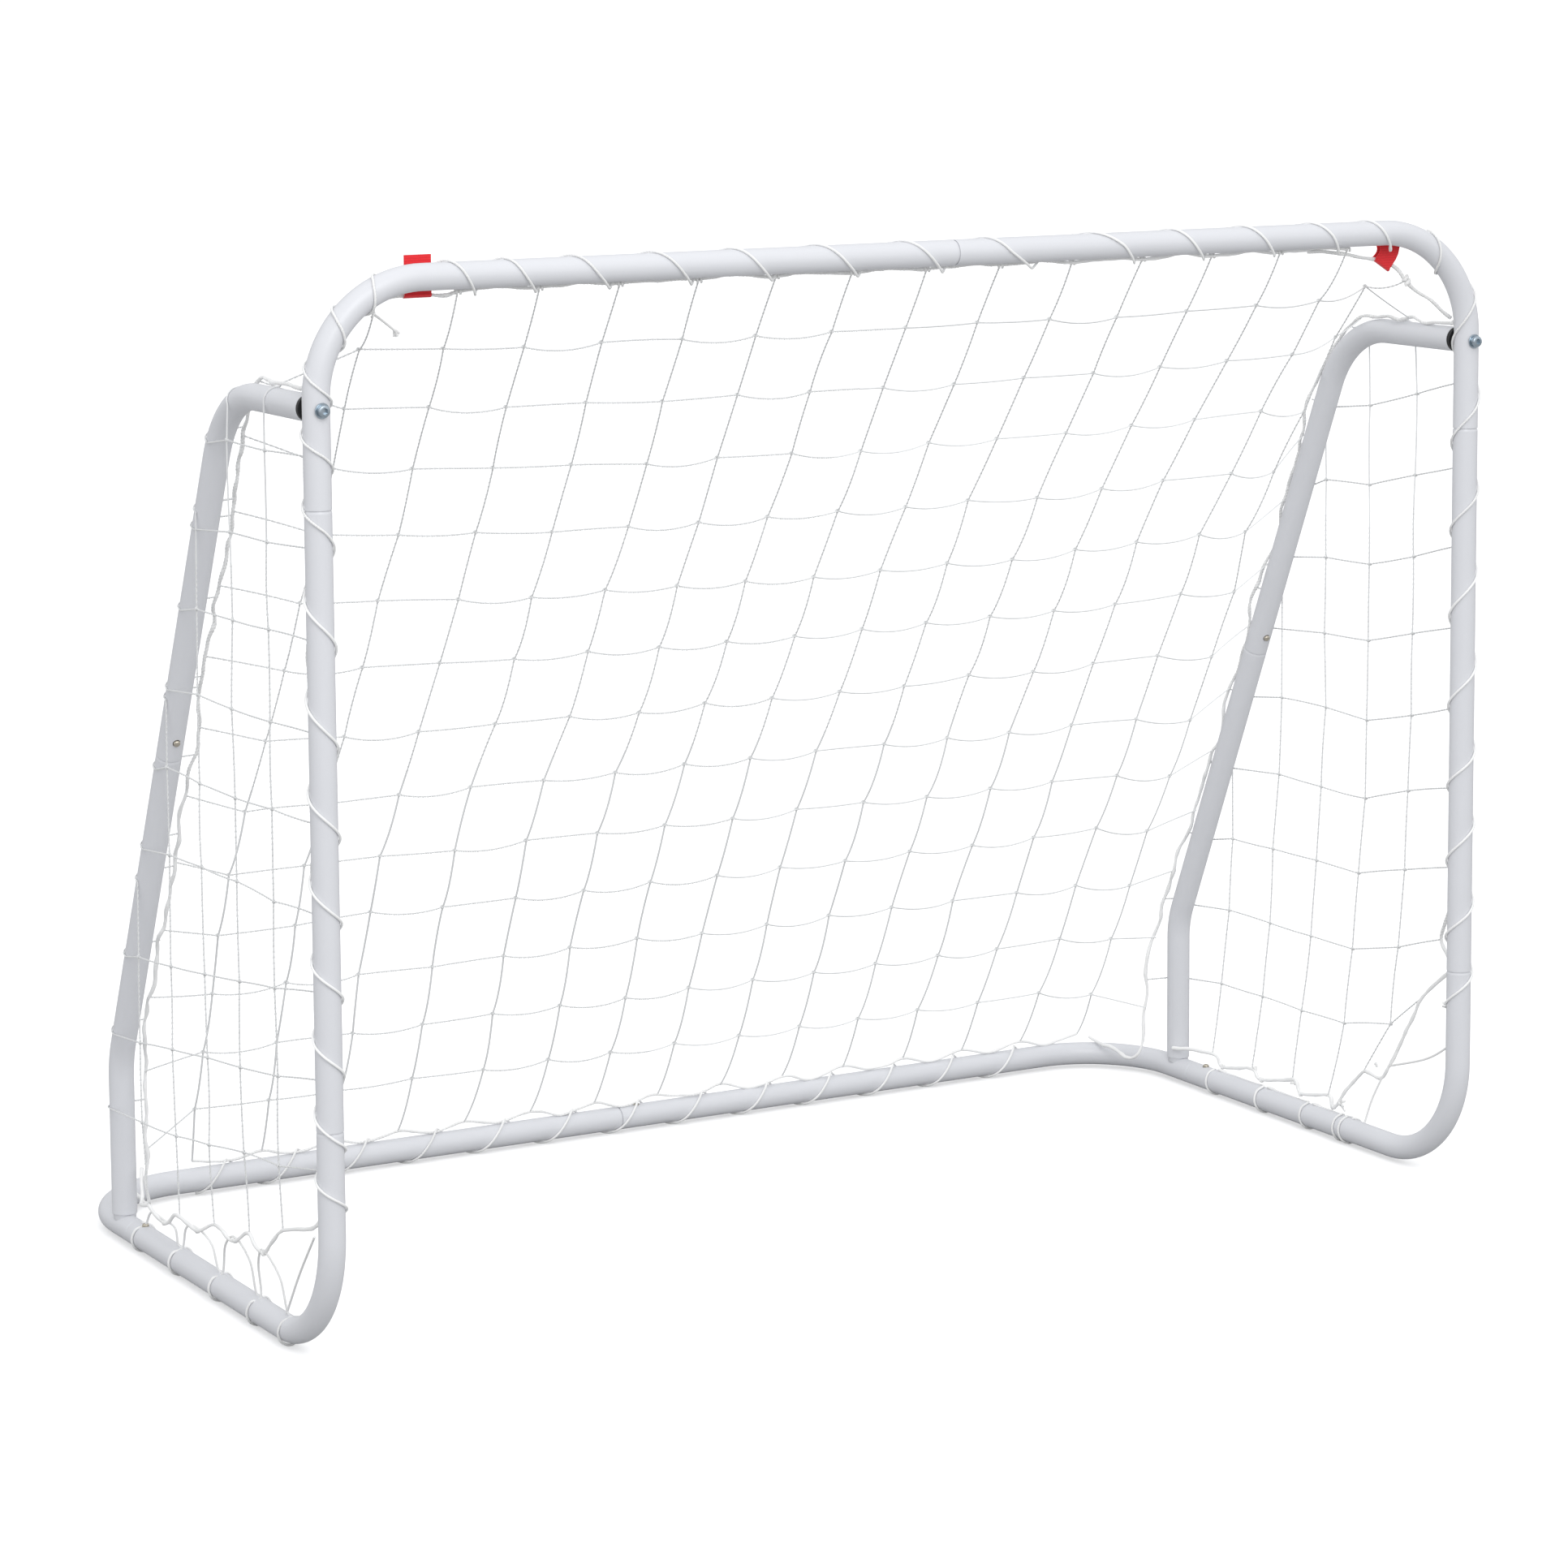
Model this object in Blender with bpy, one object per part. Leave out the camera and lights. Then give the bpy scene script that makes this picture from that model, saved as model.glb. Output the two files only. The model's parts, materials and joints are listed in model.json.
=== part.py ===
"""Portable football goal: a plug-together frame of 30 mm steel tube, with a laced net.

Metres. +X runs along the crossbar to the right, +Y from the mouth to the rear bar, +Z up.
The origin is on the floor, under the middle of the goal. The floor is z = 0.

The frame is twelve tubes. Where two meet, one has a swaged neck that plugs into the other,
and a sprung snap button in the neck comes out through both walls. Each side strut is bolted
to its post and stands on a stub on the rear corner tube.
"""

from math import cos, pi, radians, sin, tan

import bmesh
import bpy
from mathutils import Matrix, Vector

# ---- Driving dimensions of the goal ----
POST_SPACING = 1.520  # between the axes of the posts
GOAL_DEPTH = 0.760  # from the post axes to the axis of the rear bar
CROSSBAR_Z = 1.186  # axis of the crossbar above the floor
TUBE_R = 0.015  # half of the 30 mm across the tube's flats
WALL = 0.001
TUBE_SIDES = 12
ARC_STEP = radians(15)  # turn between two rings of a bend
GAP = 0.0003  # between pieces that touch

# ---- Bends, to the tube's axis ----
TOP_BEND_R = 0.125
FOOT_BEND_R = 0.135
REAR_BEND_R = 0.125
STRUT_UPPER_BEND_R = 0.127
STRUT_LOWER_BEND_R = 0.108

# ---- Swaged joints and snap buttons ----
NECK_R = TUBE_R - WALL - GAP
NECK_LENGTH = 0.045
SHOULDER = 0.002
BUTTON_SET_BACK = 0.026  # from a seam to its button
BUTTON_R = 0.004
BUTTON_PROUD = 0.0035
BUTTON_HOLE_R = 0.0046
NECK_HOLE_R = 0.0043
FLANGE_R = 0.0049
FLANGE_TOP = NECK_R - WALL - 0.0013
FLANGE_THICK = 0.0008
CLIP_THICK = 0.0006
CLIP_WIDTH = 0.007
CLIP_REACH = 0.034
CLIP_TAIL = 0.007  # flat end of each leg, past the button's centre
DRILL_OUT = 0.005  # how far a drill starts outside the wall
DRILL_IN = 0.006  # how far it ends inside the neck's wall

# ---- Seams, where a neck meets the next tube ----
CROSSBAR_SEAM_X = 0.030
UPPER_SEAM_Z = 0.944
LOWER_SEAM_Z = 0.270
SIDE_SEAM_DEPTH = 0.571  # behind the post axes
REAR_SEAM_X = -0.018
STRUT_SEAM_Z = 0.615

# ---- Struts ----
STRUT_TOP_Z = 1.051
STRUT_FRONT = 0.0205  # from the post axis to the strut's front end
STRUT_KNEE_DEPTH = 0.242  # where the level run and the slope would meet
STRUT_FOOT_DEPTH = 0.6115
STRUT_ANKLE_Z = 0.222  # where the slope and the upright foot would meet
STUB_HEIGHT = 0.040
STRUT_FOOT_GAP = 0.0006  # strut's foot above the rear corner tube

# ---- Pivot bolt, washer, nut and end plug ----
BOLT_R = 0.004
BOLT_HOLE_R = 0.0044
BOLT_END = 0.050
HEAD_R = 0.0065
HEAD_HEIGHT = 0.006
SOCKET_R = 0.0032
SOCKET_DEPTH = 0.0036
WASHER_R = 0.0085
WASHER_THICK = 0.0016
NUT_R = 0.0075
NUT_THICK = 0.0065
PLUG_FLANGE_R = 0.0146
PLUG_BODY_R = TUBE_R - WALL - GAP
PLUG_LENGTH = 0.026
PLUG_POCKET_R = 0.0078
HEAD_CHAMFER = 0.0008
POCKET_SPARE = 0.001  # the nut's pocket is this much deeper than the nut

# ---- Net, cords and straps ----
CORD_R = 0.0015
ROPE_R = 0.002
CORD_SIDES_PER_TURN = 8
LACING_PITCH = 0.100
POST_LACING_PITCH = 0.095
SIDE_LACING_PITCH = 0.090
CROSSBAR_LACING_X = 0.594  # half of the laced run
REAR_LACING_X = 0.600
POST_LACING_START = 0.655  # from the middle of the crossbar, along the tube
POST_LACING_FOOT_Z = 0.165
SIDE_LACING_FRONT = 0.170  # behind the post axes
SIDE_LACING_BACK = 0.520
BEND_SLACK = 0.0010  # lets the straight steps of a cord pass round a bend
SIDE_LOOP_LIFT = 0.022  # from a side tube's lacing up to the net's hem
NET_THICK = 0.001
NET_FRONT = 0.031  # net's front edge, behind the post axes
NET_DROP = 0.020  # net's top edge, under the crossbar's axis
NET_CLEAR = 0.0185  # net's middle, outside the strut's axis
NET_HALF_WIDTH = POST_SPACING / 2 + 0.0160
ROOF_CORNER_DEPTH = 0.120  # how far back the roof's cut corners reach
SIDE_NET_TOP_Z = 1.088
SIDE_NET_X = POST_SPACING / 2 + 0.0172
SIDE_NET_FRONT_Z = 0.290  # lowest point of the side net's front edge
SIDE_NET_HEM_Z = 0.072
SIDE_NET_HEM_FRONT = 0.270  # behind the post axes
SIDE_NET_HEM_BACK = 0.050  # in front of the rear bar's axis
NET_FOOT_Y, NET_FOOT_Z = -0.012, 0.024  # from the rear bar's axis
SEAM_ROPE_X = 0.725
REAR_ROPE_Y, REAR_ROPE_Z = -0.006, 0.0235  # from the rear bar's axis
REAR_ROPE_X = 0.600
EDGE_ROPE_DEPTH = 0.0235  # front rope's axis, behind the post axes
EDGE_ROPE_X = POST_SPACING / 2 + 0.019
EDGE_ROPE_DROP = 0.024  # under the crossbar's axis
HEM_ROPE_X = POST_SPACING / 2 + 0.0125
HEM_ROPE_Z = 0.076
STRAP_X = 0.630
STRAP_WIDTH = 0.035
STRAP_THICK = 0.0012
STRAP_ROPE_DROP = 0.030
STRAP_RISE = 0.024  # above the crossbar's axis

# ---- Worked out from these ----
VERTEX_R = TUBE_R / cos(pi / TUBE_SIDES)
WRAP_FLAT_R = VERTEX_R + GAP + CORD_R
WRAP_R = WRAP_FLAT_R / cos(pi / CORD_SIDES_PER_TURN)
BASE_Z = WRAP_FLAT_R + CORD_R  # the base tubes stand on the lacing under them
HALF_WIDTH = POST_SPACING / 2
FRONT_REACH = TUBE_R + WASHER_THICK + HEAD_HEIGHT + 2 * GAP
REAR_REACH = WRAP_FLAT_R + CORD_R
POST_Y = (FRONT_REACH - GOAL_DEPTH - REAR_REACH) / 2
REAR_Y = POST_Y + GOAL_DEPTH
SIDES = (("left", -1), ("right", 1))
X_AXIS, Y_AXIS, Z_AXIS = Vector((1, 0, 0)), Vector((0, 1, 0)), Vector((0, 0, 1))


# ---- Scene and materials ----
def clear_scene():
    for item in list(bpy.data.objects):
        bpy.data.objects.remove(item)


def finish(name, colour, roughness, metallic=0.0):
    """A Principled material of one colour."""
    made = bpy.data.materials.new(name)
    made.use_nodes = True
    shader = made.node_tree.nodes["Principled BSDF"]
    shader.inputs["Base Color"].default_value = (*colour, 1.0)
    shader.inputs["Roughness"].default_value = roughness
    shader.inputs["Metallic"].default_value = metallic
    return made


def make_finishes():
    return {
        "powder_coat": finish("white powder coat", (0.80, 0.81, 0.84), 0.35),
        "zinc": finish("zinc plated steel", (0.48, 0.54, 0.60), 0.32, 1.0),
        "nickel": finish("nickel plated steel", (0.66, 0.63, 0.56), 0.20, 1.0),
        "spring": finish("spring steel", (0.32, 0.33, 0.35), 0.40, 1.0),
        "plastic": finish("black plastic", (0.02, 0.02, 0.022), 0.50),
        "twine": finish("white net twine", (0.78, 0.79, 0.80), 0.80),
        "cord": finish("white lacing cord", (0.82, 0.83, 0.84), 0.75),
        "tape": finish("red hook and loop tape", (0.72, 0.05, 0.06), 0.85),
    }


def add_object(name, data, material, place, parent):
    data.materials.append(material)
    made = bpy.data.objects.new(name, data)
    bpy.context.scene.collection.objects.link(made)
    made.parent = parent
    made.matrix_world = place
    return made


def add_mesh(name, mesh_in_progress, material, place, parent):
    """Turns a bmesh into an object, faces outwards and round sides smooth."""
    bmesh.ops.recalc_face_normals(mesh_in_progress, faces=mesh_in_progress.faces[:])
    data = bpy.data.meshes.new(name)
    mesh_in_progress.to_mesh(data)
    mesh_in_progress.free()
    data.shade_smooth()
    data.set_sharp_from_angle(angle=radians(35))
    return add_object(name, data, material, place, parent)


def placement(origin, axis, across):
    """Local Z along axis and local X along across, with its zero at origin."""
    axis, across = Vector(axis).normalized(), Vector(across).normalized()
    turned_axes = Matrix((across, axis.cross(across), axis)).transposed()
    return Matrix.Translation(origin) @ turned_axes.to_4x4()


# ---- Paths ----
def rounded_path(corners, bend_radii):
    """The corners joined by straight runs, with an arc of the given radius at each inner one."""
    corners = [Vector(corner) for corner in corners]
    path = [corners[0]]
    for before, corner, after, radius in zip(corners, corners[1:], corners[2:], bend_radii):
        back, ahead = (before - corner).normalized(), (after - corner).normalized()
        turn = pi - back.angle(ahead)
        tangent_length = radius * tan(turn / 2)
        start = corner + back * tangent_length
        centre = corner + (back + ahead).normalized() * (radius / cos(turn / 2))
        outward = (start - centre).normalized()
        steps = max(2, round(turn / ARC_STEP))
        for step in range(steps + 1):
            angle = turn * step / steps
            path.append(centre + (outward * cos(angle) - back * sin(angle)) * radius)
    path.append(corners[-1])
    return path


def directions(path, at):
    """The direction at a point of the path, and how much a mitred ring there is stretched."""
    arriving = (path[at] - path[at - 1]).normalized() if at > 0 else None
    leaving = (path[at + 1] - path[at]).normalized() if at < len(path) - 1 else None
    if arriving is None or leaving is None:
        return leaving or arriving, 1.0
    middle = (arriving + leaving).normalized()
    return middle, 1 / middle.dot(leaving)


def along(path, distance):
    """The point this far along the path, and the direction there."""
    for start, end in zip(path, path[1:]):
        length = (end - start).length
        if distance <= length or end is path[-1]:
            direction = (end - start).normalized()
            return start + direction * distance, direction
        distance -= length


def path_length(path):
    return sum((end - start).length for start, end in zip(path, path[1:]))


# ---- Tubes ----
def swept_rings(path, start, end, inset):
    """(centre, direction, stretch, radius) of each ring. inset is 0 outside and WALL inside."""
    rings = []
    for at, point in enumerate(path):
        direction, stretch = directions(path, at)
        rings.append((point, direction, stretch, TUBE_R - inset))
    for shape, at_start in ((start, True), (end, False)):
        if shape != "neck":
            continue
        seam, direction = rings[0 if at_start else -1][:2]
        outward = -direction if at_start else direction
        shoulder = (seam - outward * SHOULDER, direction, 1.0, TUBE_R - inset)
        necked = [
            (seam, direction, 1.0, NECK_R - inset),
            (seam + outward * NECK_LENGTH, direction, 1.0, NECK_R - inset),
        ]
        if at_start:
            rings = necked[::-1] + [shoulder] + rings[1:]
        else:
            rings = rings[:-1] + [shoulder] + necked
    return rings


def add_ring(mesh_in_progress, normal, ring):
    """The corners of one polygon around the path, its flats square to the bend's plane."""
    centre, direction, stretch, flat_radius = ring
    side = direction.cross(normal) * stretch
    axes = Matrix((normal, side, direction)).transposed().to_4x4()
    half_side = Matrix.Rotation(pi / TUBE_SIDES, 4, "Z")
    made = bmesh.ops.create_circle(
        mesh_in_progress,
        segments=TUBE_SIDES,
        radius=flat_radius / cos(pi / TUBE_SIDES),
        matrix=Matrix.Translation(centre) @ axes @ half_side,
    )
    return made["verts"]


def add_tube(name, path, normal, start, end, material, parent):
    """A hollow tube along the path. Each end is a "neck", a "socket" or "plain"."""
    origin = path[0].copy()
    path = [point - origin for point in path]
    if start == "socket":
        path[0] = path[0] + (path[1] - path[0]).normalized() * GAP
    if end == "socket":
        path[-1] = path[-1] + (path[-2] - path[-1]).normalized() * GAP
    outer = swept_rings(path, start, end, 0)
    inner = swept_rings(path, start, end, WALL)
    shell = bmesh.new()
    rings = [add_ring(shell, normal, ring) for ring in outer + inner[::-1]]
    for first, second in zip(rings, rings[1:] + rings[:1]):
        for at in range(TUBE_SIDES):
            shell.faces.new((first[at - 1], first[at], second[at], second[at - 1]))
    return add_mesh(name, shell, material, Matrix.Translation(origin), parent)


# ---- Turned and extruded pieces ----
def add_turned(name, profile, steps, material, place, parent, flat_sided=False):
    """Turns (radius, height) points about local Z. A profile off the axis closes on itself."""
    scale = 1 / cos(pi / steps) if flat_sided else 1.0
    piece = bmesh.new()
    verts = [piece.verts.new((radius * scale, 0, height)) for radius, height in profile]
    pairs = list(zip(verts, verts[1:]))
    if profile[0][0] > 0:
        pairs.append((verts[-1], verts[0]))
    edges = [piece.edges.new(pair) for pair in pairs]
    bmesh.ops.rotate(piece, verts=verts, matrix=Matrix.Rotation(pi / steps, 3, "Z"))
    outline = verts + edges
    bmesh.ops.spin(
        piece, geom=outline, cent=(0, 0, 0), axis=Z_AXIS, angle=2 * pi, steps=steps, use_merge=True
    )
    bmesh.ops.remove_doubles(piece, verts=piece.verts[:], dist=1e-6)
    return add_mesh(name, piece, material, place, parent)


def add_extruded(name, outline, low, high, material, place, parent, cuts=()):
    """Extrudes an outline of (local Y, local Z) points from local X = low to high.

    Each cut is a (point, normal) plane: what lies beyond it is taken off and the cut is closed.
    """
    piece = bmesh.new()
    face = piece.faces.new([piece.verts.new((low, y, z)) for y, z in outline])
    extruded = bmesh.ops.extrude_face_region(piece, geom=[face])["geom"]
    moved = [item for item in extruded if isinstance(item, bmesh.types.BMVert)]
    bmesh.ops.translate(piece, verts=moved, vec=(high - low, 0, 0))
    for point, normal in cuts:
        everything = piece.verts[:] + piece.edges[:] + piece.faces[:]
        cut = bmesh.ops.bisect_plane(
            piece, geom=everything, plane_co=point, plane_no=normal, clear_outer=True
        )
        rim = [item for item in cut["geom_cut"] if isinstance(item, bmesh.types.BMEdge)]
        bmesh.ops.edgeloop_fill(piece, edges=rim)
    bmesh.ops.triangulate(piece, faces=piece.faces[:])
    return add_mesh(name, piece, material, place, parent)


def ribbon(points, thickness):
    """The outline of a strip of this thickness along (y, z) points."""
    line = [Vector((0, y, z)) for y, z in points]
    one_side, other_side = [], []
    for at, point in enumerate(line):
        direction, stretch = directions(line, at)
        offset = direction.cross(X_AXIS) * (stretch * thickness / 2)
        one_side.append((point + offset)[1:])
        other_side.append((point - offset)[1:])
    return [tuple(point) for point in one_side + other_side[::-1]]


# ---- Boolean helpers ----
def add_cutter(name, start, end, radius, parent, sides=16, flat_sided=False):
    """A hidden rod from start to end, for a Boolean."""
    scale = 1 / cos(pi / sides) if flat_sided else 1.0
    axis = end - start
    across = X_AXIS if abs(axis.normalized().dot(X_AXIS)) < 0.5 else Y_AXIS
    rod = bmesh.new()
    bmesh.ops.create_cone(
        rod,
        cap_ends=True,
        segments=sides,
        radius1=radius * scale,
        radius2=radius * scale,
        depth=axis.length,
        matrix=Matrix.Rotation(pi / sides, 4, "Z"),
    )
    place = placement((start + end) / 2, axis, across)
    data = bpy.data.meshes.new(name)
    rod.to_mesh(data)
    rod.free()
    made = bpy.data.objects.new(name, data)
    bpy.context.scene.collection.objects.link(made)
    made.parent = parent
    made.matrix_world = place
    made.hide_render = True
    made.display_type = "WIRE"
    return made


def add_boolean(target, tool, operation):
    step = target.modifiers.new(tool.name, "BOOLEAN")
    step.operation = operation
    step.object = tool
    step.solver = "EXACT"


def drill(target, start, end, radius, parent):
    rod = add_cutter(f"drill_{target.name}", start, end, radius, parent)
    add_boolean(target, rod, "DIFFERENCE")


# ---- Snap buttons ----
def button_profile():
    """A flanged pin with a domed top. Height 0 is on the tube's axis."""
    top = TUBE_R + BUTTON_PROUD
    dome_height = 0.6 * BUTTON_R
    dome = [
        (BUTTON_R * cos(angle), top - dome_height * (1 - sin(angle))) for angle in (0, pi / 4)
    ]
    flange_foot = FLANGE_TOP - FLANGE_THICK
    flange = [(0, flange_foot), (FLANGE_R, flange_foot), (FLANGE_R, FLANGE_TOP)]
    return flange + [(BUTTON_R, FLANGE_TOP)] + dome + [(0, top)]


def clip_points():
    """A leaf spring bent to a V: its upper leg under the button, its lower leg on the far wall."""
    leg_top = FLANGE_TOP - FLANGE_THICK - GAP - CLIP_THICK / 2
    leg_bottom = -(NECK_R - WALL - 0.0020)
    return [
        (-CLIP_TAIL, leg_top),
        (CLIP_TAIL, leg_top),
        (CLIP_REACH - 0.003, leg_bottom + 0.0075),
        (CLIP_REACH, leg_bottom + 0.0035),
        (CLIP_REACH - 0.003, leg_bottom),
        (-CLIP_TAIL, leg_bottom),
    ]


def add_snap_joint(label, seam, into_socket, facing, neck_tube, socket_tube, finishes, parent):
    """A snap button and its leaf spring in the neck, and the holes that the button stands in."""
    into_socket, facing = into_socket.normalized(), facing.normalized()
    centre = seam + into_socket * BUTTON_SET_BACK
    place = placement(centre, facing, into_socket.cross(facing))
    outside = centre + facing * (TUBE_R + DRILL_OUT)
    inside = centre + facing * (NECK_R - DRILL_IN)
    drill(neck_tube, inside, outside, NECK_HOLE_R, parent)
    drill(socket_tube, inside, outside, BUTTON_HOLE_R, parent)
    add_turned(f"snap_button_{label}", button_profile(), 12, finishes["nickel"], place, parent)
    back_along_neck = placement(centre, facing, facing.cross(into_socket))
    outline = ribbon(clip_points(), CLIP_THICK)
    add_extruded(
        f"spring_clip_{label}",
        outline,
        -CLIP_WIDTH / 2,
        CLIP_WIDTH / 2,
        finishes["spring"],
        back_along_neck,
        parent,
    )


# ---- Frame ----
def add_frame(finishes, parent):
    """The twelve tubes, their ten snap joints and the stubs that the struts stand on."""
    white = finishes["powder_coat"]
    crossbar_mid = Vector((CROSSBAR_SEAM_X, POST_Y, CROSSBAR_Z))
    rear_mid = Vector((REAR_SEAM_X, REAR_Y, BASE_Z))
    crossbars, rears = {}, {}
    for side, sign in SIDES:
        x = sign * HALF_WIDTH
        top_corner = Vector((x, POST_Y, CROSSBAR_Z))
        upper_seam = Vector((x, POST_Y, UPPER_SEAM_Z))
        lower_seam = Vector((x, POST_Y, LOWER_SEAM_Z))
        foot_corner = Vector((x, POST_Y, BASE_Z))
        side_seam = Vector((x, POST_Y + SIDE_SEAM_DEPTH, BASE_Z))
        rear_corner = Vector((x, REAR_Y, BASE_Z))
        crossbar_end = "neck" if side == "left" else "socket"
        crossbar = add_tube(
            f"crossbar_tube_{side}",
            rounded_path([crossbar_mid, top_corner, upper_seam], [TOP_BEND_R]),
            Y_AXIS,
            crossbar_end,
            "socket",
            white,
            parent,
        )
        post_run = [upper_seam, lower_seam]
        post = add_tube(
            f"post_tube_{side}", post_run, Y_AXIS, "neck", "socket", white, parent
        )
        foot_path = rounded_path([lower_seam, foot_corner, side_seam], [FOOT_BEND_R])
        foot = add_tube(f"foot_tube_{side}", foot_path, X_AXIS, "neck", "socket", white, parent)
        rear_path = rounded_path([side_seam, rear_corner, rear_mid], [REAR_BEND_R])
        rear = add_tube(
            f"rear_corner_tube_{side}", rear_path, Z_AXIS, "neck", crossbar_end, white, parent
        )
        crossbars[side], rears[side] = crossbar, rear
        add_stub(rear, side, x, parent)
        add_strut(side, x, finishes, parent)
        add_pivot(side, x, crossbar, finishes, parent)
        joints = (
            (f"post_upper_{side}", upper_seam, Z_AXIS, Y_AXIS, post, crossbar),
            (f"post_lower_{side}", lower_seam, Z_AXIS, Y_AXIS, foot, post),
            (f"side_{side}", side_seam, -Y_AXIS, Z_AXIS, rear, foot),
        )
        for joint in joints:
            add_snap_joint(*joint, finishes, parent)
    bars = (
        ("crossbar", crossbar_mid, X_AXIS, Y_AXIS, crossbars),
        ("rear", rear_mid, X_AXIS, Z_AXIS, rears),
    )
    for label, seam, axis, facing, halves in bars:
        neck, socket = halves["left"], halves["right"]
        add_snap_joint(label, seam, axis, facing, neck, socket, finishes, parent)


def add_stub(rear, side, x, parent):
    """The short upright neck on the rear corner tube, its foot cut to the tube's round wall."""
    foot = Vector((x, POST_Y + STRUT_FOOT_DEPTH, BASE_Z))
    top = foot + Z_AXIS * (TUBE_R + STUB_HEIGHT)
    half_run = Y_AXIS * (2 * TUBE_R)
    saddle_r = TUBE_R - WALL / 2
    bore_foot, bore_top = foot + Z_AXIS * (TUBE_R + 2 * WALL), top + Z_AXIS * WALL
    rods = (
        ("stub", foot, top, NECK_R),
        ("saddle", foot - half_run, foot + half_run, saddle_r),
        ("stub_bore", bore_foot, bore_top, NECK_R - WALL),
    )
    stub, saddle, bore = [
        add_cutter(f"{name}_{side}", start, end, radius, parent, TUBE_SIDES, True)
        for name, start, end, radius in rods
    ]
    add_boolean(stub, saddle, "DIFFERENCE")
    add_boolean(stub, bore, "DIFFERENCE")
    add_boolean(rear, stub, "UNION")


def strut_corners(x):
    foot_y = POST_Y + STRUT_FOOT_DEPTH
    front = Vector((x, POST_Y + STRUT_FRONT, STRUT_TOP_Z))
    knee = Vector((x, POST_Y + STRUT_KNEE_DEPTH, STRUT_TOP_Z))
    ankle = Vector((x, foot_y, STRUT_ANKLE_Z))
    foot = Vector((x, foot_y, BASE_Z + TUBE_R + STRUT_FOOT_GAP))
    seam = knee.lerp(ankle, (STRUT_TOP_Z - STRUT_SEAM_Z) / (STRUT_TOP_Z - STRUT_ANKLE_Z))
    return front, knee, seam, ankle, foot


def add_strut(side, x, finishes, parent):
    """Upper and lower strut, joined on the slope by a snap joint that faces the mouth."""
    white = finishes["powder_coat"]
    front, knee, seam, ankle, foot = strut_corners(x)
    upper_path = rounded_path([front, knee, seam], [STRUT_UPPER_BEND_R])
    lower_path = rounded_path([seam, ankle, foot], [STRUT_LOWER_BEND_R])
    upper_name, lower_name = f"strut_tube_upper_{side}", f"strut_tube_lower_{side}"
    upper = add_tube(upper_name, upper_path, X_AXIS, "plain", "socket", white, parent)
    lower = add_tube(lower_name, lower_path, X_AXIS, "neck", "plain", white, parent)
    up_slope = (knee - ankle).normalized()
    facing = X_AXIS.cross(up_slope)
    facing = facing if facing.y < 0 else -facing
    add_snap_joint(f"strut_{side}", seam, up_slope, facing, lower, upper, finishes, parent)


def add_pivot(side, x, crossbar, finishes, parent):
    """The bolt through the post into the strut's end plug, with its washer and captive nut."""
    axis_point = Vector((x, POST_Y, STRUT_TOP_Z))
    place = placement(axis_point, Y_AXIS, X_AXIS)
    through = Y_AXIS * (TUBE_R + DRILL_OUT)
    drill(crossbar, axis_point - through, axis_point + through, BOLT_HOLE_R, parent)
    washer_back = -TUBE_R - GAP
    washer_front = washer_back - WASHER_THICK
    head_back = washer_front - GAP
    head_front = head_back - HEAD_HEIGHT
    socket_floor = head_front + SOCKET_DEPTH
    bolt = [
        (0, socket_floor),
        (SOCKET_R, socket_floor),
        (SOCKET_R, head_front),
        (HEAD_R - HEAD_CHAMFER, head_front),
        (HEAD_R, head_front + HEAD_CHAMFER),
        (HEAD_R, head_back),
        (BOLT_R, head_back),
        (BOLT_R, BOLT_END),
        (0, BOLT_END),
    ]
    add_turned(f"pivot_bolt_{side}", bolt, 12, finishes["zinc"], place, parent)
    washer = [
        (BOLT_HOLE_R, washer_front),
        (WASHER_R, washer_front),
        (WASHER_R, washer_back),
        (BOLT_HOLE_R, washer_back),
    ]
    add_turned(f"bolt_washer_{side}", washer, 12, finishes["zinc"], place, parent)
    flange_front = TUBE_R + GAP
    flange_back = STRUT_FRONT - GAP
    plug_back = flange_front + PLUG_LENGTH
    pocket_floor = plug_back - NUT_THICK - POCKET_SPARE
    plug = [
        (BOLT_HOLE_R, flange_front),
        (PLUG_FLANGE_R, flange_front),
        (PLUG_FLANGE_R, flange_back),
        (PLUG_BODY_R, flange_back),
        (PLUG_BODY_R, plug_back),
        (PLUG_POCKET_R, plug_back),
        (PLUG_POCKET_R, pocket_floor),
        (BOLT_HOLE_R, pocket_floor),
    ]
    black = finishes["plastic"]
    add_turned(f"strut_end_plug_{side}", plug, TUBE_SIDES, black, place, parent, True)
    nut_front = pocket_floor + GAP
    nut_back = nut_front + NUT_THICK
    thread_r = BOLT_HOLE_R / cos(pi / 6)
    nut = [(thread_r, nut_front), (NUT_R, nut_front), (NUT_R, nut_back), (thread_r, nut_back)]
    add_turned(f"captive_nut_{side}", nut, 6, finishes["zinc"], place, parent)


# ---- Net ----
def net_profile():
    """(y, z) of the net's roof, back slope and foot, seen from the side."""
    run, drop = STRUT_FOOT_DEPTH - STRUT_KNEE_DEPTH, STRUT_TOP_Z - STRUT_ANKLE_Z
    turn = Vector((0, run, -drop)).angle(Y_AXIS)
    bend_start = STRUT_KNEE_DEPTH - STRUT_UPPER_BEND_R * tan(turn / 2)
    centre_y, centre_z = POST_Y + bend_start, STRUT_TOP_Z - STRUT_UPPER_BEND_R
    outer_r = STRUT_UPPER_BEND_R + NET_CLEAR
    bend = [
        (centre_y + outer_r * sin(angle), centre_z + outer_r * cos(angle))
        for angle in (turn * part for part in (0.15, 0.36, 0.57, 0.78, 1.0))
    ]
    top = [(POST_Y + NET_FRONT, CROSSBAR_Z - NET_DROP)]
    ankle = [(POST_Y + STRUT_FOOT_DEPTH + NET_CLEAR, STRUT_ANKLE_Z + 0.004)]
    foot = [(REAR_Y + NET_FOOT_Y, BASE_Z + NET_FOOT_Z)]
    return top + bend + ankle + foot


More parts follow.
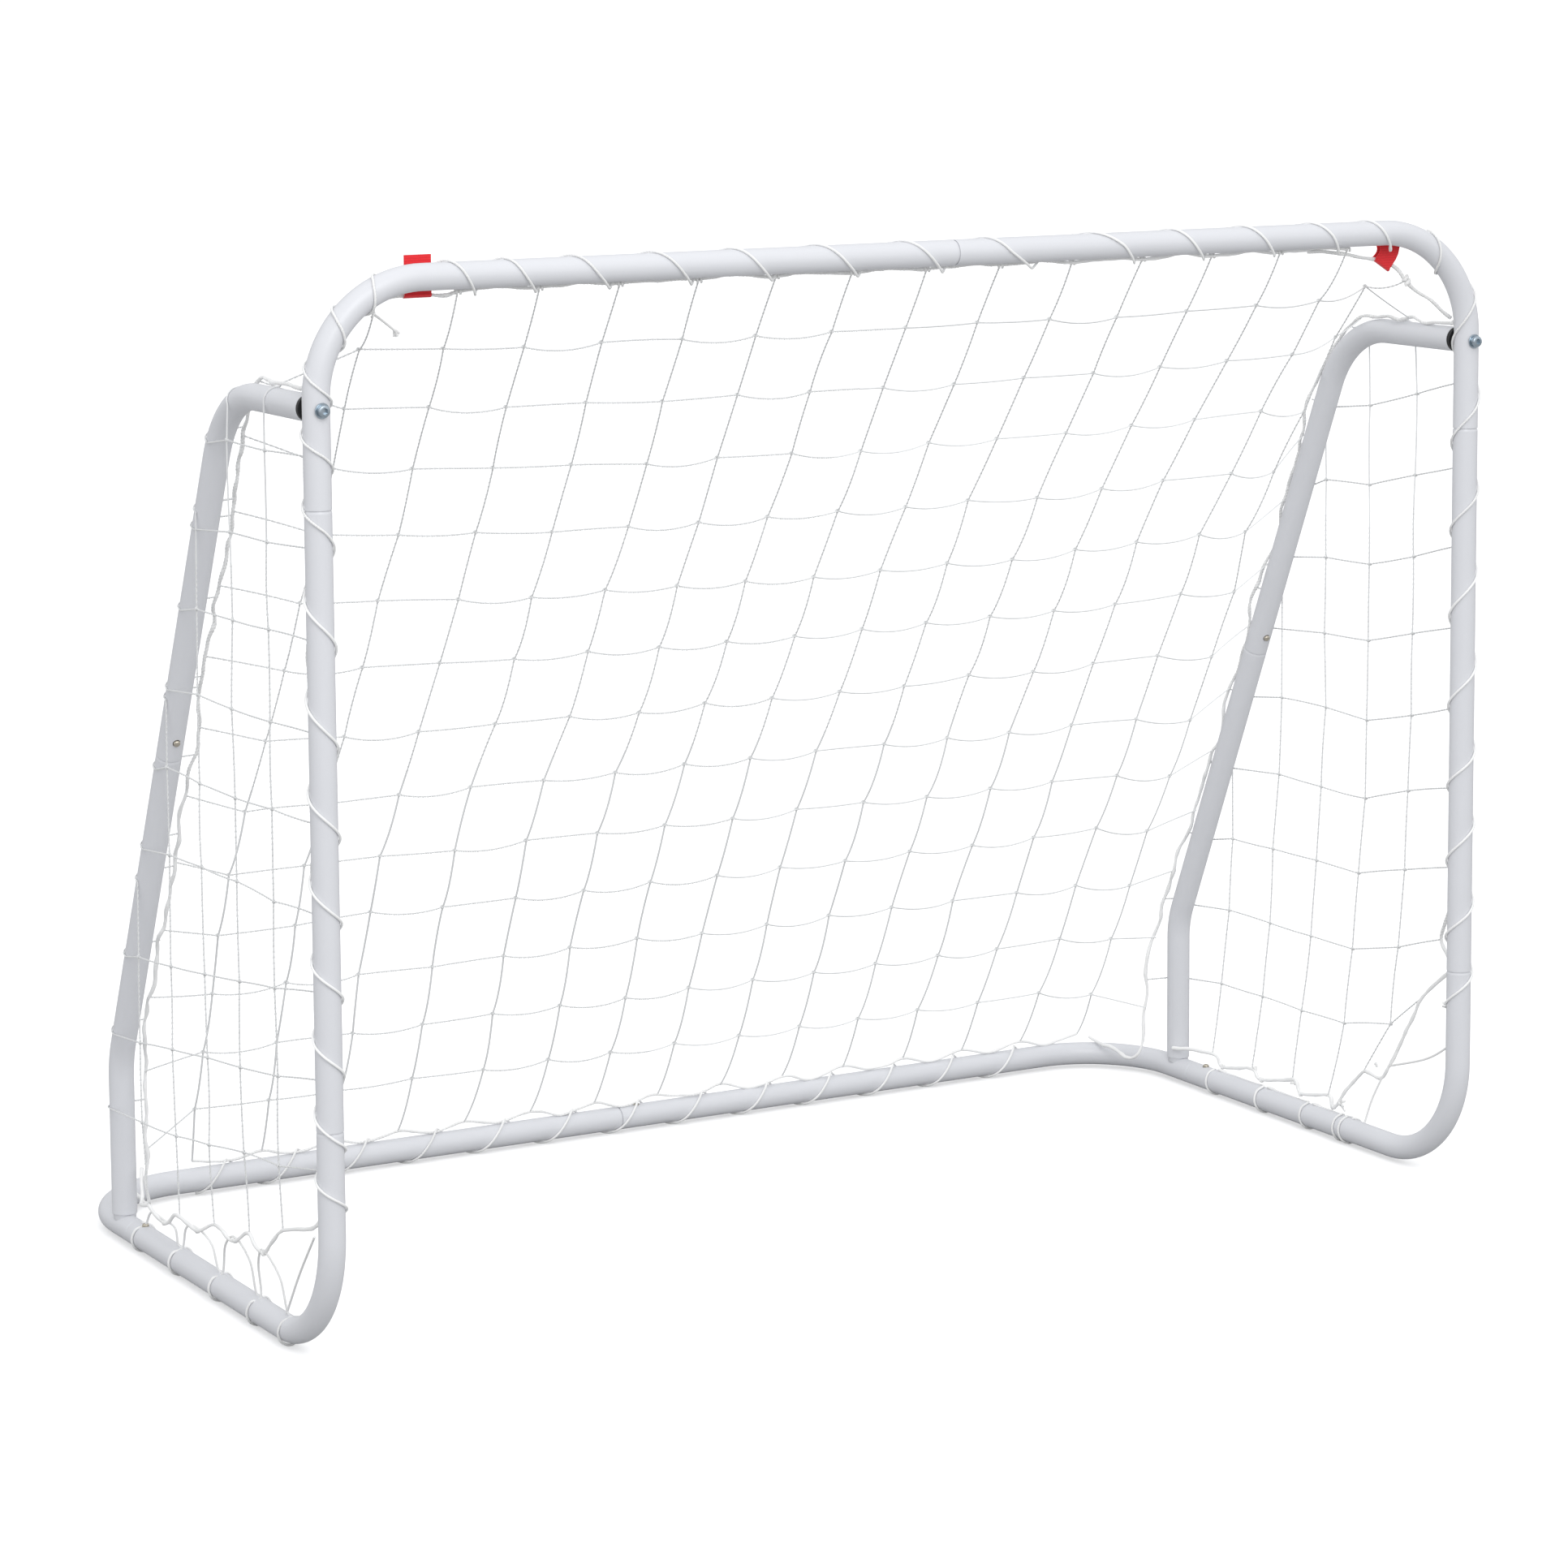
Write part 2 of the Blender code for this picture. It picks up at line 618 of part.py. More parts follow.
def roof_corner_cuts():
    """Upright planes that take off the roof's front corners, where the top bends are."""
    inner_x = HALF_WIDTH - TOP_BEND_R - TUBE_R
    run_x, run_y = NET_HALF_WIDTH - inner_x, ROOF_CORNER_DEPTH
    front = POST_Y + NET_FRONT
    return [
        (Vector((sign * inner_x, front, 0)), Vector((sign * run_y, -run_x, 0)))
        for _, sign in SIDES
    ]


def add_net(finishes, parent):
    """Back and side panels, each a thin closed sheet where the mesh hangs."""
    world = Matrix.Identity(4)
    twine = finishes["twine"]
    profile = net_profile()
    add_extruded(
        "net_back",
        ribbon(profile, NET_THICK),
        -NET_HALF_WIDTH,
        NET_HALF_WIDTH,
        twine,
        world,
        parent,
        roof_corner_cuts(),
    )
    top = [(POST_Y + NET_FRONT, SIDE_NET_TOP_Z)]
    hem = [
        (REAR_Y - SIDE_NET_HEM_BACK, SIDE_NET_HEM_Z),
        (POST_Y + SIDE_NET_HEM_FRONT, SIDE_NET_HEM_Z),
        (POST_Y + NET_FRONT, SIDE_NET_FRONT_Z),
    ]
    side_outline = top + profile[1:-1] + hem
    for side, sign in SIDES:
        middle = sign * SIDE_NET_X
        faces = middle - NET_THICK / 2, middle + NET_THICK / 2
        add_extruded(f"net_{side}", side_outline, *faces, twine, world, parent)


# ---- Cords ----
def add_cord(name, points, radius, material, parent):
    """A round cord through the points, closed at both ends."""
    origin = Vector(points[0])
    data = bpy.data.curves.new(name, "CURVE")
    data.dimensions = "3D"
    data.bevel_depth = radius
    data.bevel_resolution = 1
    data.use_fill_caps = True
    spline = data.splines.new("POLY")
    spline.points.add(len(points) - 1)
    for at, point in enumerate(points):
        spline.points[at].co = (*(Vector(point) - origin), 1)
    return add_object(name, data, material, Matrix.Translation(origin), parent)


def wrapped_points(path, normal, pitch, first_turn, hand, start=0.0, slack=0.0, lift=0.0):
    """Turns of cord round a tube from start on, slack off its wall. lift raises each turn's top."""
    step = 2 * pi / CORD_SIDES_PER_TURN
    count = int((path_length(path) - start) / pitch * CORD_SIDES_PER_TURN)
    points = []
    for at in range(count + 1):
        centre, direction = along(path, start + at * pitch / CORD_SIDES_PER_TURN)
        angle = first_turn + hand * step * (at + 0.5)
        side = direction.cross(normal)
        point = centre + (normal * cos(angle) + side * sin(angle)) * (WRAP_R + slack)
        if lift and point.z > centre.z + WRAP_R * 0.8:
            point.z += lift
        points.append(point)
    return points


def add_lacing(finishes, parent):
    """The cords that lace the net to the crossbar, posts, side tubes and rear bar."""
    cord = finishes["cord"]
    bars = (
        ("crossbar", CROSSBAR_LACING_X, POST_Y, CROSSBAR_Z, Y_AXIS, 0),
        ("rear", REAR_LACING_X, REAR_Y, BASE_Z, Z_AXIS, 0.5 * pi),
    )
    for label, half_run, y, z, normal, first_turn in bars:
        bar_path = [Vector((-half_run, y, z)), Vector((half_run, y, z))]
        points = wrapped_points(bar_path, normal, LACING_PITCH, first_turn, 1)
        add_cord(f"lacing_{label}", points, CORD_R, cord, parent)
    for side, sign in SIDES:
        x = sign * HALF_WIDTH
        middle, corner = (0, POST_Y, CROSSBAR_Z), (x, POST_Y, CROSSBAR_Z)
        points = wrapped_points(
            rounded_path([middle, corner, (x, POST_Y, POST_LACING_FOOT_Z)], [TOP_BEND_R]),
            Y_AXIS,
            POST_LACING_PITCH,
            0.5 * pi,
            sign,
            POST_LACING_START,
            BEND_SLACK,
        )
        add_cord(f"lacing_post_{side}", points, CORD_R, cord, parent)
        side_path = [
            Vector((x, POST_Y + depth, BASE_Z)) for depth in (SIDE_LACING_BACK, SIDE_LACING_FRONT)
        ]
        points = wrapped_points(
            side_path, X_AXIS, SIDE_LACING_PITCH, 0, sign, lift=SIDE_LOOP_LIFT
        )
        add_cord(f"lacing_side_{side}", points, CORD_R, cord, parent)


def add_ropes(finishes, parent):
    """The ropes in the net's edges: round the mouth, along the rear bar, and down both seams."""
    rope = finishes["cord"]
    depth = POST_Y + EDGE_ROPE_DEPTH
    strap_z = CROSSBAR_Z - STRAP_ROPE_DROP
    rope_z = CROSSBAR_Z - EDGE_ROPE_DROP
    half = [
        (0.0, depth, rope_z),
        (STRAP_X - 0.070, depth, rope_z),
        (STRAP_X - 0.030, depth, strap_z),
        (STRAP_X + 0.032, depth, strap_z),
        (HALF_WIDTH - 0.025, depth, SIDE_NET_TOP_Z),
        (EDGE_ROPE_X, depth, SIDE_NET_TOP_Z - 0.010),
        (EDGE_ROPE_X, depth, SIDE_NET_FRONT_Z),
        (HEM_ROPE_X, POST_Y + 0.120, 0.180),
        (HEM_ROPE_X, POST_Y + SIDE_NET_HEM_FRONT, HEM_ROPE_Z),
        (HEM_ROPE_X, POST_Y + 0.590, HEM_ROPE_Z),
    ]
    left = [(-x, y, z) for x, y, z in half[:0:-1]]
    add_cord("edge_rope_front", left + half, ROPE_R, rope, parent)
    rear_rope = [
        (sign * REAR_ROPE_X, REAR_Y + REAR_ROPE_Y, BASE_Z + REAR_ROPE_Z) for _, sign in SIDES
    ]
    add_cord("edge_rope_rear", rear_rope, ROPE_R, rope, parent)
    outside = NET_THICK / 2 + GAP + ROPE_R + NET_THICK
    line = [Vector((0, y, z)) for y, z in net_profile()]
    for side, sign in SIDES:
        points = []
        for at in range(len(line)):
            direction, stretch = directions(line, at)
            offset = X_AXIS.cross(direction) * (stretch * outside)
            points.append(line[at] + offset + X_AXIS * (sign * SEAM_ROPE_X))
        points[0] = points[0].lerp(points[1], 0.15)
        points[-1] = points[-1].lerp(points[-2], 0.06)
        add_cord(f"seam_rope_{side}", points, ROPE_R, rope, parent)


def add_straps(finishes, parent):
    """The tapes behind the crossbar's ends, each folded round the net's edge rope."""
    rope_y = EDGE_ROPE_DEPTH
    fold_r = ROPE_R + GAP + STRAP_THICK
    near_tube = TUBE_R + GAP + STRAP_THICK
    fold = [
        (rope_y - fold_r * cos(angle), -STRAP_ROPE_DROP - fold_r * sin(angle))
        for angle in (0, pi / 4, pi / 2, 3 * pi / 4, pi)
    ]
    down_front = [(near_tube, STRAP_RISE), (near_tube, -0.4 * STRAP_ROPE_DROP)]
    line = down_front + fold + [(rope_y + fold_r, -0.45 * STRAP_ROPE_DROP)]
    for side, sign in SIDES:
        place = Matrix.Translation((sign * STRAP_X, POST_Y, CROSSBAR_Z))
        outline = ribbon(line, STRAP_THICK)
        half = STRAP_WIDTH / 2
        add_extruded(f"strap_{side}", outline, -half, half, finishes["tape"], place, parent)


def main():
    clear_scene()
    finishes = make_finishes()
    goal = bpy.data.objects.new("goal", None)
    bpy.context.scene.collection.objects.link(goal)
    add_frame(finishes, goal)
    add_net(finishes, goal)
    add_lacing(finishes, goal)
    add_ropes(finishes, goal)
    add_straps(finishes, goal)


main()
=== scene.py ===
"""Portable football goal: white steel tube frame, knotted twine net, laced on with cord.

Laid out as an add-on. Lengths are metres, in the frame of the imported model: +X along the
crossbar to the right, +Y from the mouth to the rear bar, +Z up, with the floor at z = 0.
"""

import json
from math import ceil, cos, pi, radians, sin, sqrt, tan
from random import Random

import bmesh
import bpy
from bpy.props import FloatProperty, FloatVectorProperty, PointerProperty
from mathutils import Matrix, Vector, noise

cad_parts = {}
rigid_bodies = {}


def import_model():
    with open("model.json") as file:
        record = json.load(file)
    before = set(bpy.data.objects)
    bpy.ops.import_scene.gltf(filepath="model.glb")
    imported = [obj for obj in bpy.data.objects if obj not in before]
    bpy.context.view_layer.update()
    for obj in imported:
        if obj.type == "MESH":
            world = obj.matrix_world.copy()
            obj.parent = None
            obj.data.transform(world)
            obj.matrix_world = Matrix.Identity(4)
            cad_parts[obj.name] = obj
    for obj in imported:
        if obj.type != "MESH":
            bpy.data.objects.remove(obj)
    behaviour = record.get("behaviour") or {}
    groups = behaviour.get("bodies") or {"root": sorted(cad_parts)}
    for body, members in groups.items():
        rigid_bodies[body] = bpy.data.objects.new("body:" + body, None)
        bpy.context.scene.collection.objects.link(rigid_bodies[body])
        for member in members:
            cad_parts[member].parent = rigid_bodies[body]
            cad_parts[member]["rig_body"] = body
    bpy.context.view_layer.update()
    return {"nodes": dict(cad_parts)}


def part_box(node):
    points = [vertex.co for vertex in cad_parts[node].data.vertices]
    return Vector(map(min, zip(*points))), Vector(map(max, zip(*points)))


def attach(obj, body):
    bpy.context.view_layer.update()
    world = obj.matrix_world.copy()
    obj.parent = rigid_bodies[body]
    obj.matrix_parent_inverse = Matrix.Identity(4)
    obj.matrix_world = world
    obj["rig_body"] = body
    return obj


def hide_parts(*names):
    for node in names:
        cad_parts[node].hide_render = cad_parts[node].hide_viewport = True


bl_info = {
    "name": "Football Goal",
    "version": (1, 0, 0),
    "blender": (4, 5, 0),
    "location": "3D View > Sidebar > Goal",
    "description": "Tubes, net, lacing, fittings and stage of a portable football goal",
    "category": "Add Mesh",
}

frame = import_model()
noise.seed_set(5)  # so that cords and strings wander the same way on every run

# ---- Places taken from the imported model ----
GAP = 0.0003  # between pieces that touch
TUBE_R = 0.015
WALL = 0.001
POST_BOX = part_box("post_tube_right")
HALF_WIDTH = (POST_BOX[0].x + POST_BOX[1].x) / 2
POST_Y = (POST_BOX[0].y + POST_BOX[1].y) / 2
CROSSBAR_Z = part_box("crossbar_tube_left")[1].z - TUBE_R
BASE_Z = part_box("foot_tube_left")[0].z + TUBE_R
REAR_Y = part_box("rear_corner_tube_left")[1].y - TUBE_R
UPPER_SEAM_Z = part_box("crossbar_tube_left")[0].z - GAP
LOWER_SEAM_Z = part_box("post_tube_left")[0].z - GAP
SIDE_SEAM_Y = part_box("foot_tube_left")[1].y + GAP
CROSSBAR_SEAM_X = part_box("crossbar_tube_right")[0].x - GAP
REAR_SEAM_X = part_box("rear_corner_tube_right")[0].x - GAP
STRUT_FRONT_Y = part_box("strut_tube_upper_left")[0].y
STRUT_TOP_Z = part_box("strut_tube_upper_left")[1].z - TUBE_R
STRUT_FOOT_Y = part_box("strut_tube_lower_left")[1].y - TUBE_R
STRUT_FOOT_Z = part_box("strut_tube_lower_left")[0].z
STRUT_KNEE_Y = POST_Y + 0.242  # where the level run and the slope would meet
STRUT_ANKLE_Z = 0.222  # where the slope and the upright foot would meet
STRUT_SEAM_Z = 0.615

TOP_BEND_R = 0.125
FOOT_BEND_R = 0.135
REAR_BEND_R = 0.125
STRUT_UPPER_BEND_R = 0.127
STRUT_LOWER_BEND_R = 0.108
NECK_R = TUBE_R - WALL - GAP
NECK_LENGTH = 0.045
SHOULDER = 0.002
BUTTON_SET_BACK = 0.026
STUB_TOP_Z = BASE_Z + TUBE_R + 0.040

SIDES = (("left", -1), ("right", 1))
X_AXIS, Y_AXIS, Z_AXIS = Vector((1, 0, 0)), Vector((0, 1, 0)), Vector((0, 0, 1))
ORIGIN = Vector((0, 0, 0))


# ---- Settings a user would change ----
def linear(hex_colour):
    """Linear red, green and blue of an sRGB hex colour."""
    channels = [int(hex_colour[at : at + 2], 16) / 255 for at in (1, 3, 5)]
    return [c / 12.92 if c <= 0.04045 else ((c + 0.055) / 1.055) ** 2.4 for c in channels]


def size_setting(name, description, default):
    return FloatProperty(
        name=name, description=description, default=default, min=0.0, unit="LENGTH", precision=4
    )


def colour_setting(name, description, hex_colour):
    return FloatVectorProperty(
        name=name, description=description, default=linear(hex_colour), subtype="COLOR", size=3
    )


class GoalSizes(bpy.types.PropertyGroup):
    twine: size_setting("Net twine", "Diameter of the net's twisted twine", 0.0026)
    cord: size_setting("Lacing cord", "Diameter of the cord that laces the net on", 0.0032)
    rope: size_setting("Edge rope", "Diameter of the rope in the net's edges", 0.0050)
    mesh: size_setting("Net mesh", "Twine length from knot to knot", 0.0975)
    tape: size_setting("Tape width", "Width of the hook and loop tapes", 0.0320)
    dome: size_setting("Button radius", "Radius of the snap buttons", 0.0040)


class GoalColours(bpy.types.PropertyGroup):
    coat: colour_setting("Powder coat", "White coat of the tubes", "#DEDFE3")
    twine: colour_setting("Net twine", "White polyethylene twine", "#EEEFEF")
    cord: colour_setting("Cord", "White cord and rope", "#FDFDFC")
    tape: colour_setting("Tape", "Red hook and loop tape", "#F8202C")
    plastic: colour_setting("End plug", "Black moulded plug", "#121314")
    zinc: colour_setting("Zinc", "Blue zinc plate of bolts and washers", "#B9C6D0")
    nickel: colour_setting("Nickel", "Nickel plate of the snap buttons", "#D8D0C0")
    spring: colour_setting("Spring steel", "Bare leaf springs", "#8B8C90")


# ---- Materials ----
def add_node(tree, kind, sockets=(), **settings):
    """Adds a node, applies its settings, and fills sockets with values or links."""
    node = tree.nodes.new("ShaderNode" + kind)
    for key, value in settings.items():
        setattr(node, key, value)
    for key, value in dict(sockets).items():
        if isinstance(value, bpy.types.NodeSocket):
            tree.links.new(value, node.inputs[key])
        else:
            node.inputs[key].default_value = value
    return node


def start_material(name, **constants):
    """A Principled material: (material, tree, shader, object coordinates)."""
    made = bpy.data.materials.new(name)
    made.use_nodes = True
    tree = made.node_tree
    shader = tree.nodes["Principled BSDF"]
    for key, value in constants.items():
        shader.inputs[key.replace("_", " ")].default_value = value
    place = add_node(tree, "TexCoord").outputs["Object"]
    return made, tree, shader, place


def patches(tree, place, grain_mm, detail=3.0, roughness=0.5):
    """Noise whose patches are about grain_mm across."""
    sockets = {"Vector": place, "Scale": 1000 / grain_mm, "Detail": detail, "Roughness": roughness}
    return add_node(tree, "TexNoise", sockets).outputs["Fac"]


def between(tree, factor, low, high):
    """factor 0..1 spread over low..high."""
    spread = {"Value": factor, "To Min": low, "To Max": high}
    return add_node(tree, "MapRange", spread).outputs["Result"]


def tinted(tree, factor, colour, darkest):
    """The colour, taken down to darkest times itself where factor is 0."""
    low = [channel * darkest for channel in colour]
    sockets = {"Factor": factor, 6: (*low, 1.0), 7: (*colour, 1.0)}
    return add_node(tree, "Mix", sockets, data_type="RGBA").outputs[2]


def bumped(tree, shader, height, distance, strength):
    sockets = {"Height": height, "Distance": distance, "Strength": strength}
    normal = add_node(tree, "Bump", sockets).outputs["Normal"]
    tree.links.new(normal, shader.inputs["Normal"])


def powder_coat(colour):
    """Polyester powder coat on steel: even white with a satin sheen and a fine orange peel."""
    made, tree, shader, place = start_material("powder_coated_steel", Specular_IOR_Level=0.5)
    shader.inputs["IOR"].default_value = 1.5
    handling = patches(tree, place, 160, 4.0, 0.6)  # faint smudges a hand wide
    tree.links.new(tinted(tree, handling, colour, 0.965), shader.inputs["Base Color"])
    tree.links.new(between(tree, handling, 0.25, 0.42), shader.inputs["Roughness"])
    peel = patches(tree, place, 2.2, 1.0)  # orange peel, drawn at 2 mm so that it shows
    bumped(tree, shader, peel, 0.0001, 0.16)
    return made


def plated_steel(name, colour, grain_mm, low, high):
    """Plated steel: bright metal, its gloss broken by the fine grain of the plating."""
    made, tree, shader, place = start_material(name, Metallic=1.0)
    grain = patches(tree, place, grain_mm)
    tree.links.new(tinted(tree, grain, colour, 0.72), shader.inputs["Base Color"])
    tree.links.new(between(tree, grain, low, high), shader.inputs["Roughness"])
    bumped(tree, shader, grain, 0.00005, 0.2)
    return made


def spun_fibre(name, colour, roughness, sheen):
    """Twisted polyethylene: dull white fibre with a slight sheen, and painted shade darkening the valleys
    between its fibre bundles.
    """
    made, tree, shader, place = start_material(name, Sheen_Weight=sheen, Roughness=roughness)
    shader.inputs["Sheen Roughness"].default_value = 0.4
    fibres_and_valley_shade = patches(tree, place, 0.9, 4.0, 0.7)  # fibre bundles, coarser than real so they show, whose valleys take painted shade
    soiling = patches(tree, place, 45, 3.0)
    # Painted shade: the colour goes down to 0.78 of itself in the fibre noise's valleys, mixed in at 0.3 with
    # the soiling.
    parts = {"Factor": 0.3, 6: tinted(tree, soiling, colour, 0.93), 7: tinted(tree, fibres_and_valley_shade, colour, 0.78)}
    mixed = add_node(tree, "Mix", parts, data_type="RGBA").outputs[2]
    tree.links.new(mixed, shader.inputs["Base Color"])
    bumped(tree, shader, fibres_and_valley_shade, 0.0002, 0.3)
    return made


RIB_MM = 1.5  # between the tape's weft ribs, about twice the real spacing so that they show


def hook_and_loop(colour):
    """Woven nylon tape with a napped face: saturated red, dull, with a fuzzy ribbed weave."""
    made, tree, shader, place = start_material("napped_nylon_tape", Roughness=0.9, Sheen_Weight=0.5)
    shader.inputs["Sheen Roughness"].default_value = 0.5
    nap = patches(tree, place, 1.3, 5.0, 0.75)
    rows = {"Vector": place, "Scale": 1000 / (RIB_MM * 2 * pi), "Distortion": 1.2, "Detail": 1.0}
    ribs = add_node(tree, "TexWave", rows, bands_direction="Z").outputs["Fac"]
    both = add_node(tree, "Math", {0: nap, 1: ribs}, operation="MULTIPLY").outputs[0]
    tree.links.new(tinted(tree, both, colour, 0.74), shader.inputs["Base Color"])
    bumped(tree, shader, both, 0.0006, 0.7)
    return made


def moulded_plastic(colour):
    """Injection moulded polyethylene: near black, with the mould's fine spark texture."""
    made, tree, shader, place = start_material("moulded_polyethylene")
    shader.inputs["Base Color"].default_value = (*colour, 1.0)
    spark = patches(tree, place, 0.8, 2.0)
    tree.links.new(between(tree, spark, 0.40, 0.60), shader.inputs["Roughness"])
    bumped(tree, shader, spark, 0.0001, 0.3)
    return made


def studio_floor():
    """Matt floor. It glows to the eye, so that it is pure white except in a shadow."""
    made, tree, shader, _ = start_material("matt_white_floor", Roughness=0.9)
    shader.inputs["Specular IOR Level"].default_value = 0.1
    is_seen = add_node(tree, "LightPath").outputs["Is Camera Ray"]
    bounce = tinted(tree, is_seen, [FLOOR_WHITE] * 3, FLOOR_BOUNCE / FLOOR_WHITE)
    tree.links.new(bounce, shader.inputs["Base Color"])
    shader.inputs["Emission Color"].default_value = (1.0, 1.0, 1.0, 1.0)
    tree.links.new(between(tree, is_seen, 0.0, FLOOR_GLOW), shader.inputs["Emission Strength"])
    return made


FINISHES = {
    "powder_coat": lambda c: powder_coat(c.coat),
    "zinc_steel": lambda c: plated_steel("blue_zinc_plated_steel", c.zinc, 1.6, 0.22, 0.38),
    "nickel_steel": lambda c: plated_steel("nickel_plated_steel", c.nickel, 2.4, 0.12, 0.24),
    "spring_steel": lambda c: plated_steel("bare_spring_steel", c.spring, 1.2, 0.32, 0.5),
    "black_plastic": lambda c: moulded_plastic(c.plastic),
    "net_twine": lambda c: spun_fibre("twisted_polyethylene_twine", c.twine, 0.7, 0.15),
    "lacing_cord": lambda c: spun_fibre("laid_polypropylene_cord", c.cord, 0.8, 0.2),
    "hook_and_loop": lambda c: hook_and_loop(c.tape),
}
finishes_made = {}


def finish_of(slot):
    """The material for one of the record's slots, made once."""
    if slot not in finishes_made:
        finishes_made[slot] = FINISHES[slot](bpy.context.scene.goal_colours)
    return finishes_made[slot]


# ---- Finishing a piece ----
def link_piece(name, data):
    made = bpy.data.objects.new(name, data)
    bpy.context.scene.collection.objects.link(made)
    return made


def smoothed(data, sharp_from=35):
    data.shade_smooth()
    data.set_sharp_from_angle(angle=radians(sharp_from))
    return data


def object_from(name, mesh_in_progress, sharp_from=35, is_open=False):
    """Turns a bmesh into an object, its faces outwards and its round sides smooth."""
    bmesh.ops.remove_doubles(mesh_in_progress, verts=mesh_in_progress.verts[:], dist=1e-6)
    if not is_open:
        bmesh.ops.recalc_face_normals(mesh_in_progress, faces=mesh_in_progress.faces[:])
    data = bpy.data.meshes.new(name)
    mesh_in_progress.to_mesh(data)
    mesh_in_progress.free()
    return link_piece(name, smoothed(data, sharp_from))


def evaluated_mesh(item):
    bpy.context.view_layer.update()
    graph = bpy.context.evaluated_depsgraph_get()
    return bpy.data.meshes.new_from_object(item.evaluated_get(graph))


def settle(piece, helpers=()):
    """Applies the piece's modifiers to its mesh, and removes the objects they used."""
    data = evaluated_mesh(piece)
    data.name = piece.name
    piece.modifiers.clear()
    piece.data = smoothed(data)
    for helper in helpers:
        bpy.data.objects.remove(helper)


def hand_over(piece, slot, replaced, body="frame"):
    piece.data.materials.clear()
    piece.data.materials.append(finish_of(slot))
    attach(piece, body)
    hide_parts(replaced)


# ---- Paths ----
def rounded_path(corners, bend_radii, turn_step=radians(5)):
    """The corners joined by straight runs, with an arc at each inner one."""
    corners = [Vector(corner) for corner in corners]
    path = [corners[0]]
    for before, corner, after, radius in zip(corners, corners[1:], corners[2:], bend_radii):
        back, ahead = (before - corner).normalized(), (after - corner).normalized()
        turn = pi - back.angle(ahead)
        start = corner + back * (radius * tan(turn / 2))
        centre = corner + (back + ahead).normalized() * (radius / cos(turn / 2))
        outward = (start - centre).normalized()
        steps = max(2, ceil(turn / turn_step))
        for step in range(steps + 1):
            angle = turn * step / steps
            path.append(centre + (outward * cos(angle) - back * sin(angle)) * radius)
    path.append(corners[-1])
    return path


def resampled(points, step):
    """Points about step apart along a polyline, its ends kept."""
    lengths = [(b - a).length for a, b in zip(points, points[1:])]
    total = sum(lengths)
    count = max(1, round(total / step))
    found, leg, passed = [points[0].copy()], 0, 0.0
    for at in range(1, count):
        goal = total * at / count
        while passed + lengths[leg] < goal:
            passed += lengths[leg]
            leg += 1
        found.append(points[leg].lerp(points[leg + 1], (goal - passed) / lengths[leg]))
    return found + [points[-1].copy()]


def flowing(points, per_leg=8):
    """A smooth curve through the points."""
    points = [Vector(point) for point in points]
    ends = [points[0] * 2 - points[1]] + points + [points[-1] * 2 - points[-2]]
    curve = []
    for a, b, c, d in zip(ends, ends[1:], ends[2:], ends[3:]):
        for at in range(per_leg):
            t = at / per_leg
            bend = (a * -1 + b * 3 - c * 3 + d) * t**3 + (a * 2 - b * 5 + c * 4 - d) * t**2
            curve.append((bend + (c - a) * t + b * 2) / 2)
    return curve + [points[-1]]


class Line:
    """A polyline with its length measured, to find points and directions along it."""

    def __init__(self, points):
        self.points = points
        self.reach = [0.0]
        for a, b in zip(points, points[1:]):
            self.reach.append(self.reach[-1] + (b - a).length)
        self.length = self.reach[-1]

    def at(self, distance):
        leg = 0
        while leg < len(self.points) - 2 and self.reach[leg + 1] < distance:
            leg += 1
        start, end = self.points[leg], self.points[leg + 1]
        direction = (end - start).normalized()
        return start + direction * (distance - self.reach[leg]), direction

    def first(self, reached):
        """How far along the first point is for which reached(point) is true."""
        steps = ceil(self.length / 0.002)
        for at in range(steps + 1):
            distance = self.length * at / steps
            if reached(self.at(distance)[0]):
                return distance
        return self.length


# ---- Tubes ----
FINE_SIDES = 48
BEND_STEP = radians(3)
DRILL_IN, DRILL_OUT = 0.006, 0.005  # how far the drills reach inside the neck and outside the tube
BUTTON_HOLE_R, BOLT_HOLE_R = 0.0046, 0.0044
END_BAND = 0.0015  # a ring this far from each end keeps the tube's shading even


def edges_of(ring):
    inside = set(ring)
    return [edge for edge in {e for vert in ring for e in vert.link_edges} if set(edge.verts) <= inside]


def carried_on(shell, ring, move):
    """Extrudes the open ring's edges by the vector, and returns the new ring."""
    made = bmesh.ops.extrude_edge_only(shell, edges=edges_of(ring))["geom"]
    ring = [item for item in made if isinstance(item, bmesh.types.BMVert)]
    bmesh.ops.translate(shell, verts=ring, vec=move)
    return ring


def resized(shell, ring, centre, factor):
    place = Matrix.Translation(-centre)
    bmesh.ops.scale(shell, verts=ring, vec=(factor, factor, factor), space=place)


def turned(shell, ring, centre, axis, turn):
    """Spins the open ring round a bend, and returns the last ring."""
    steps = max(2, ceil(turn / BEND_STEP))
    geom = ring + edges_of(ring)
    made = bmesh.ops.spin(shell, geom=geom, cent=centre, axis=axis, angle=turn, steps=steps)["geom_last"]
    return [item for item in made if isinstance(item, bmesh.types.BMVert)]


def facing_place(origin, axis):
    """Moves local Z to the axis through origin."""
    return Matrix.Translation(origin) @ axis.to_track_quat("Z", "Y").to_matrix().to_4x4()


def open_ring(shell, centre, direction, radius):
    place = facing_place(centre, direction)
    return bmesh.ops.create_circle(shell, segments=FINE_SIDES, radius=radius, matrix=place)["verts"]


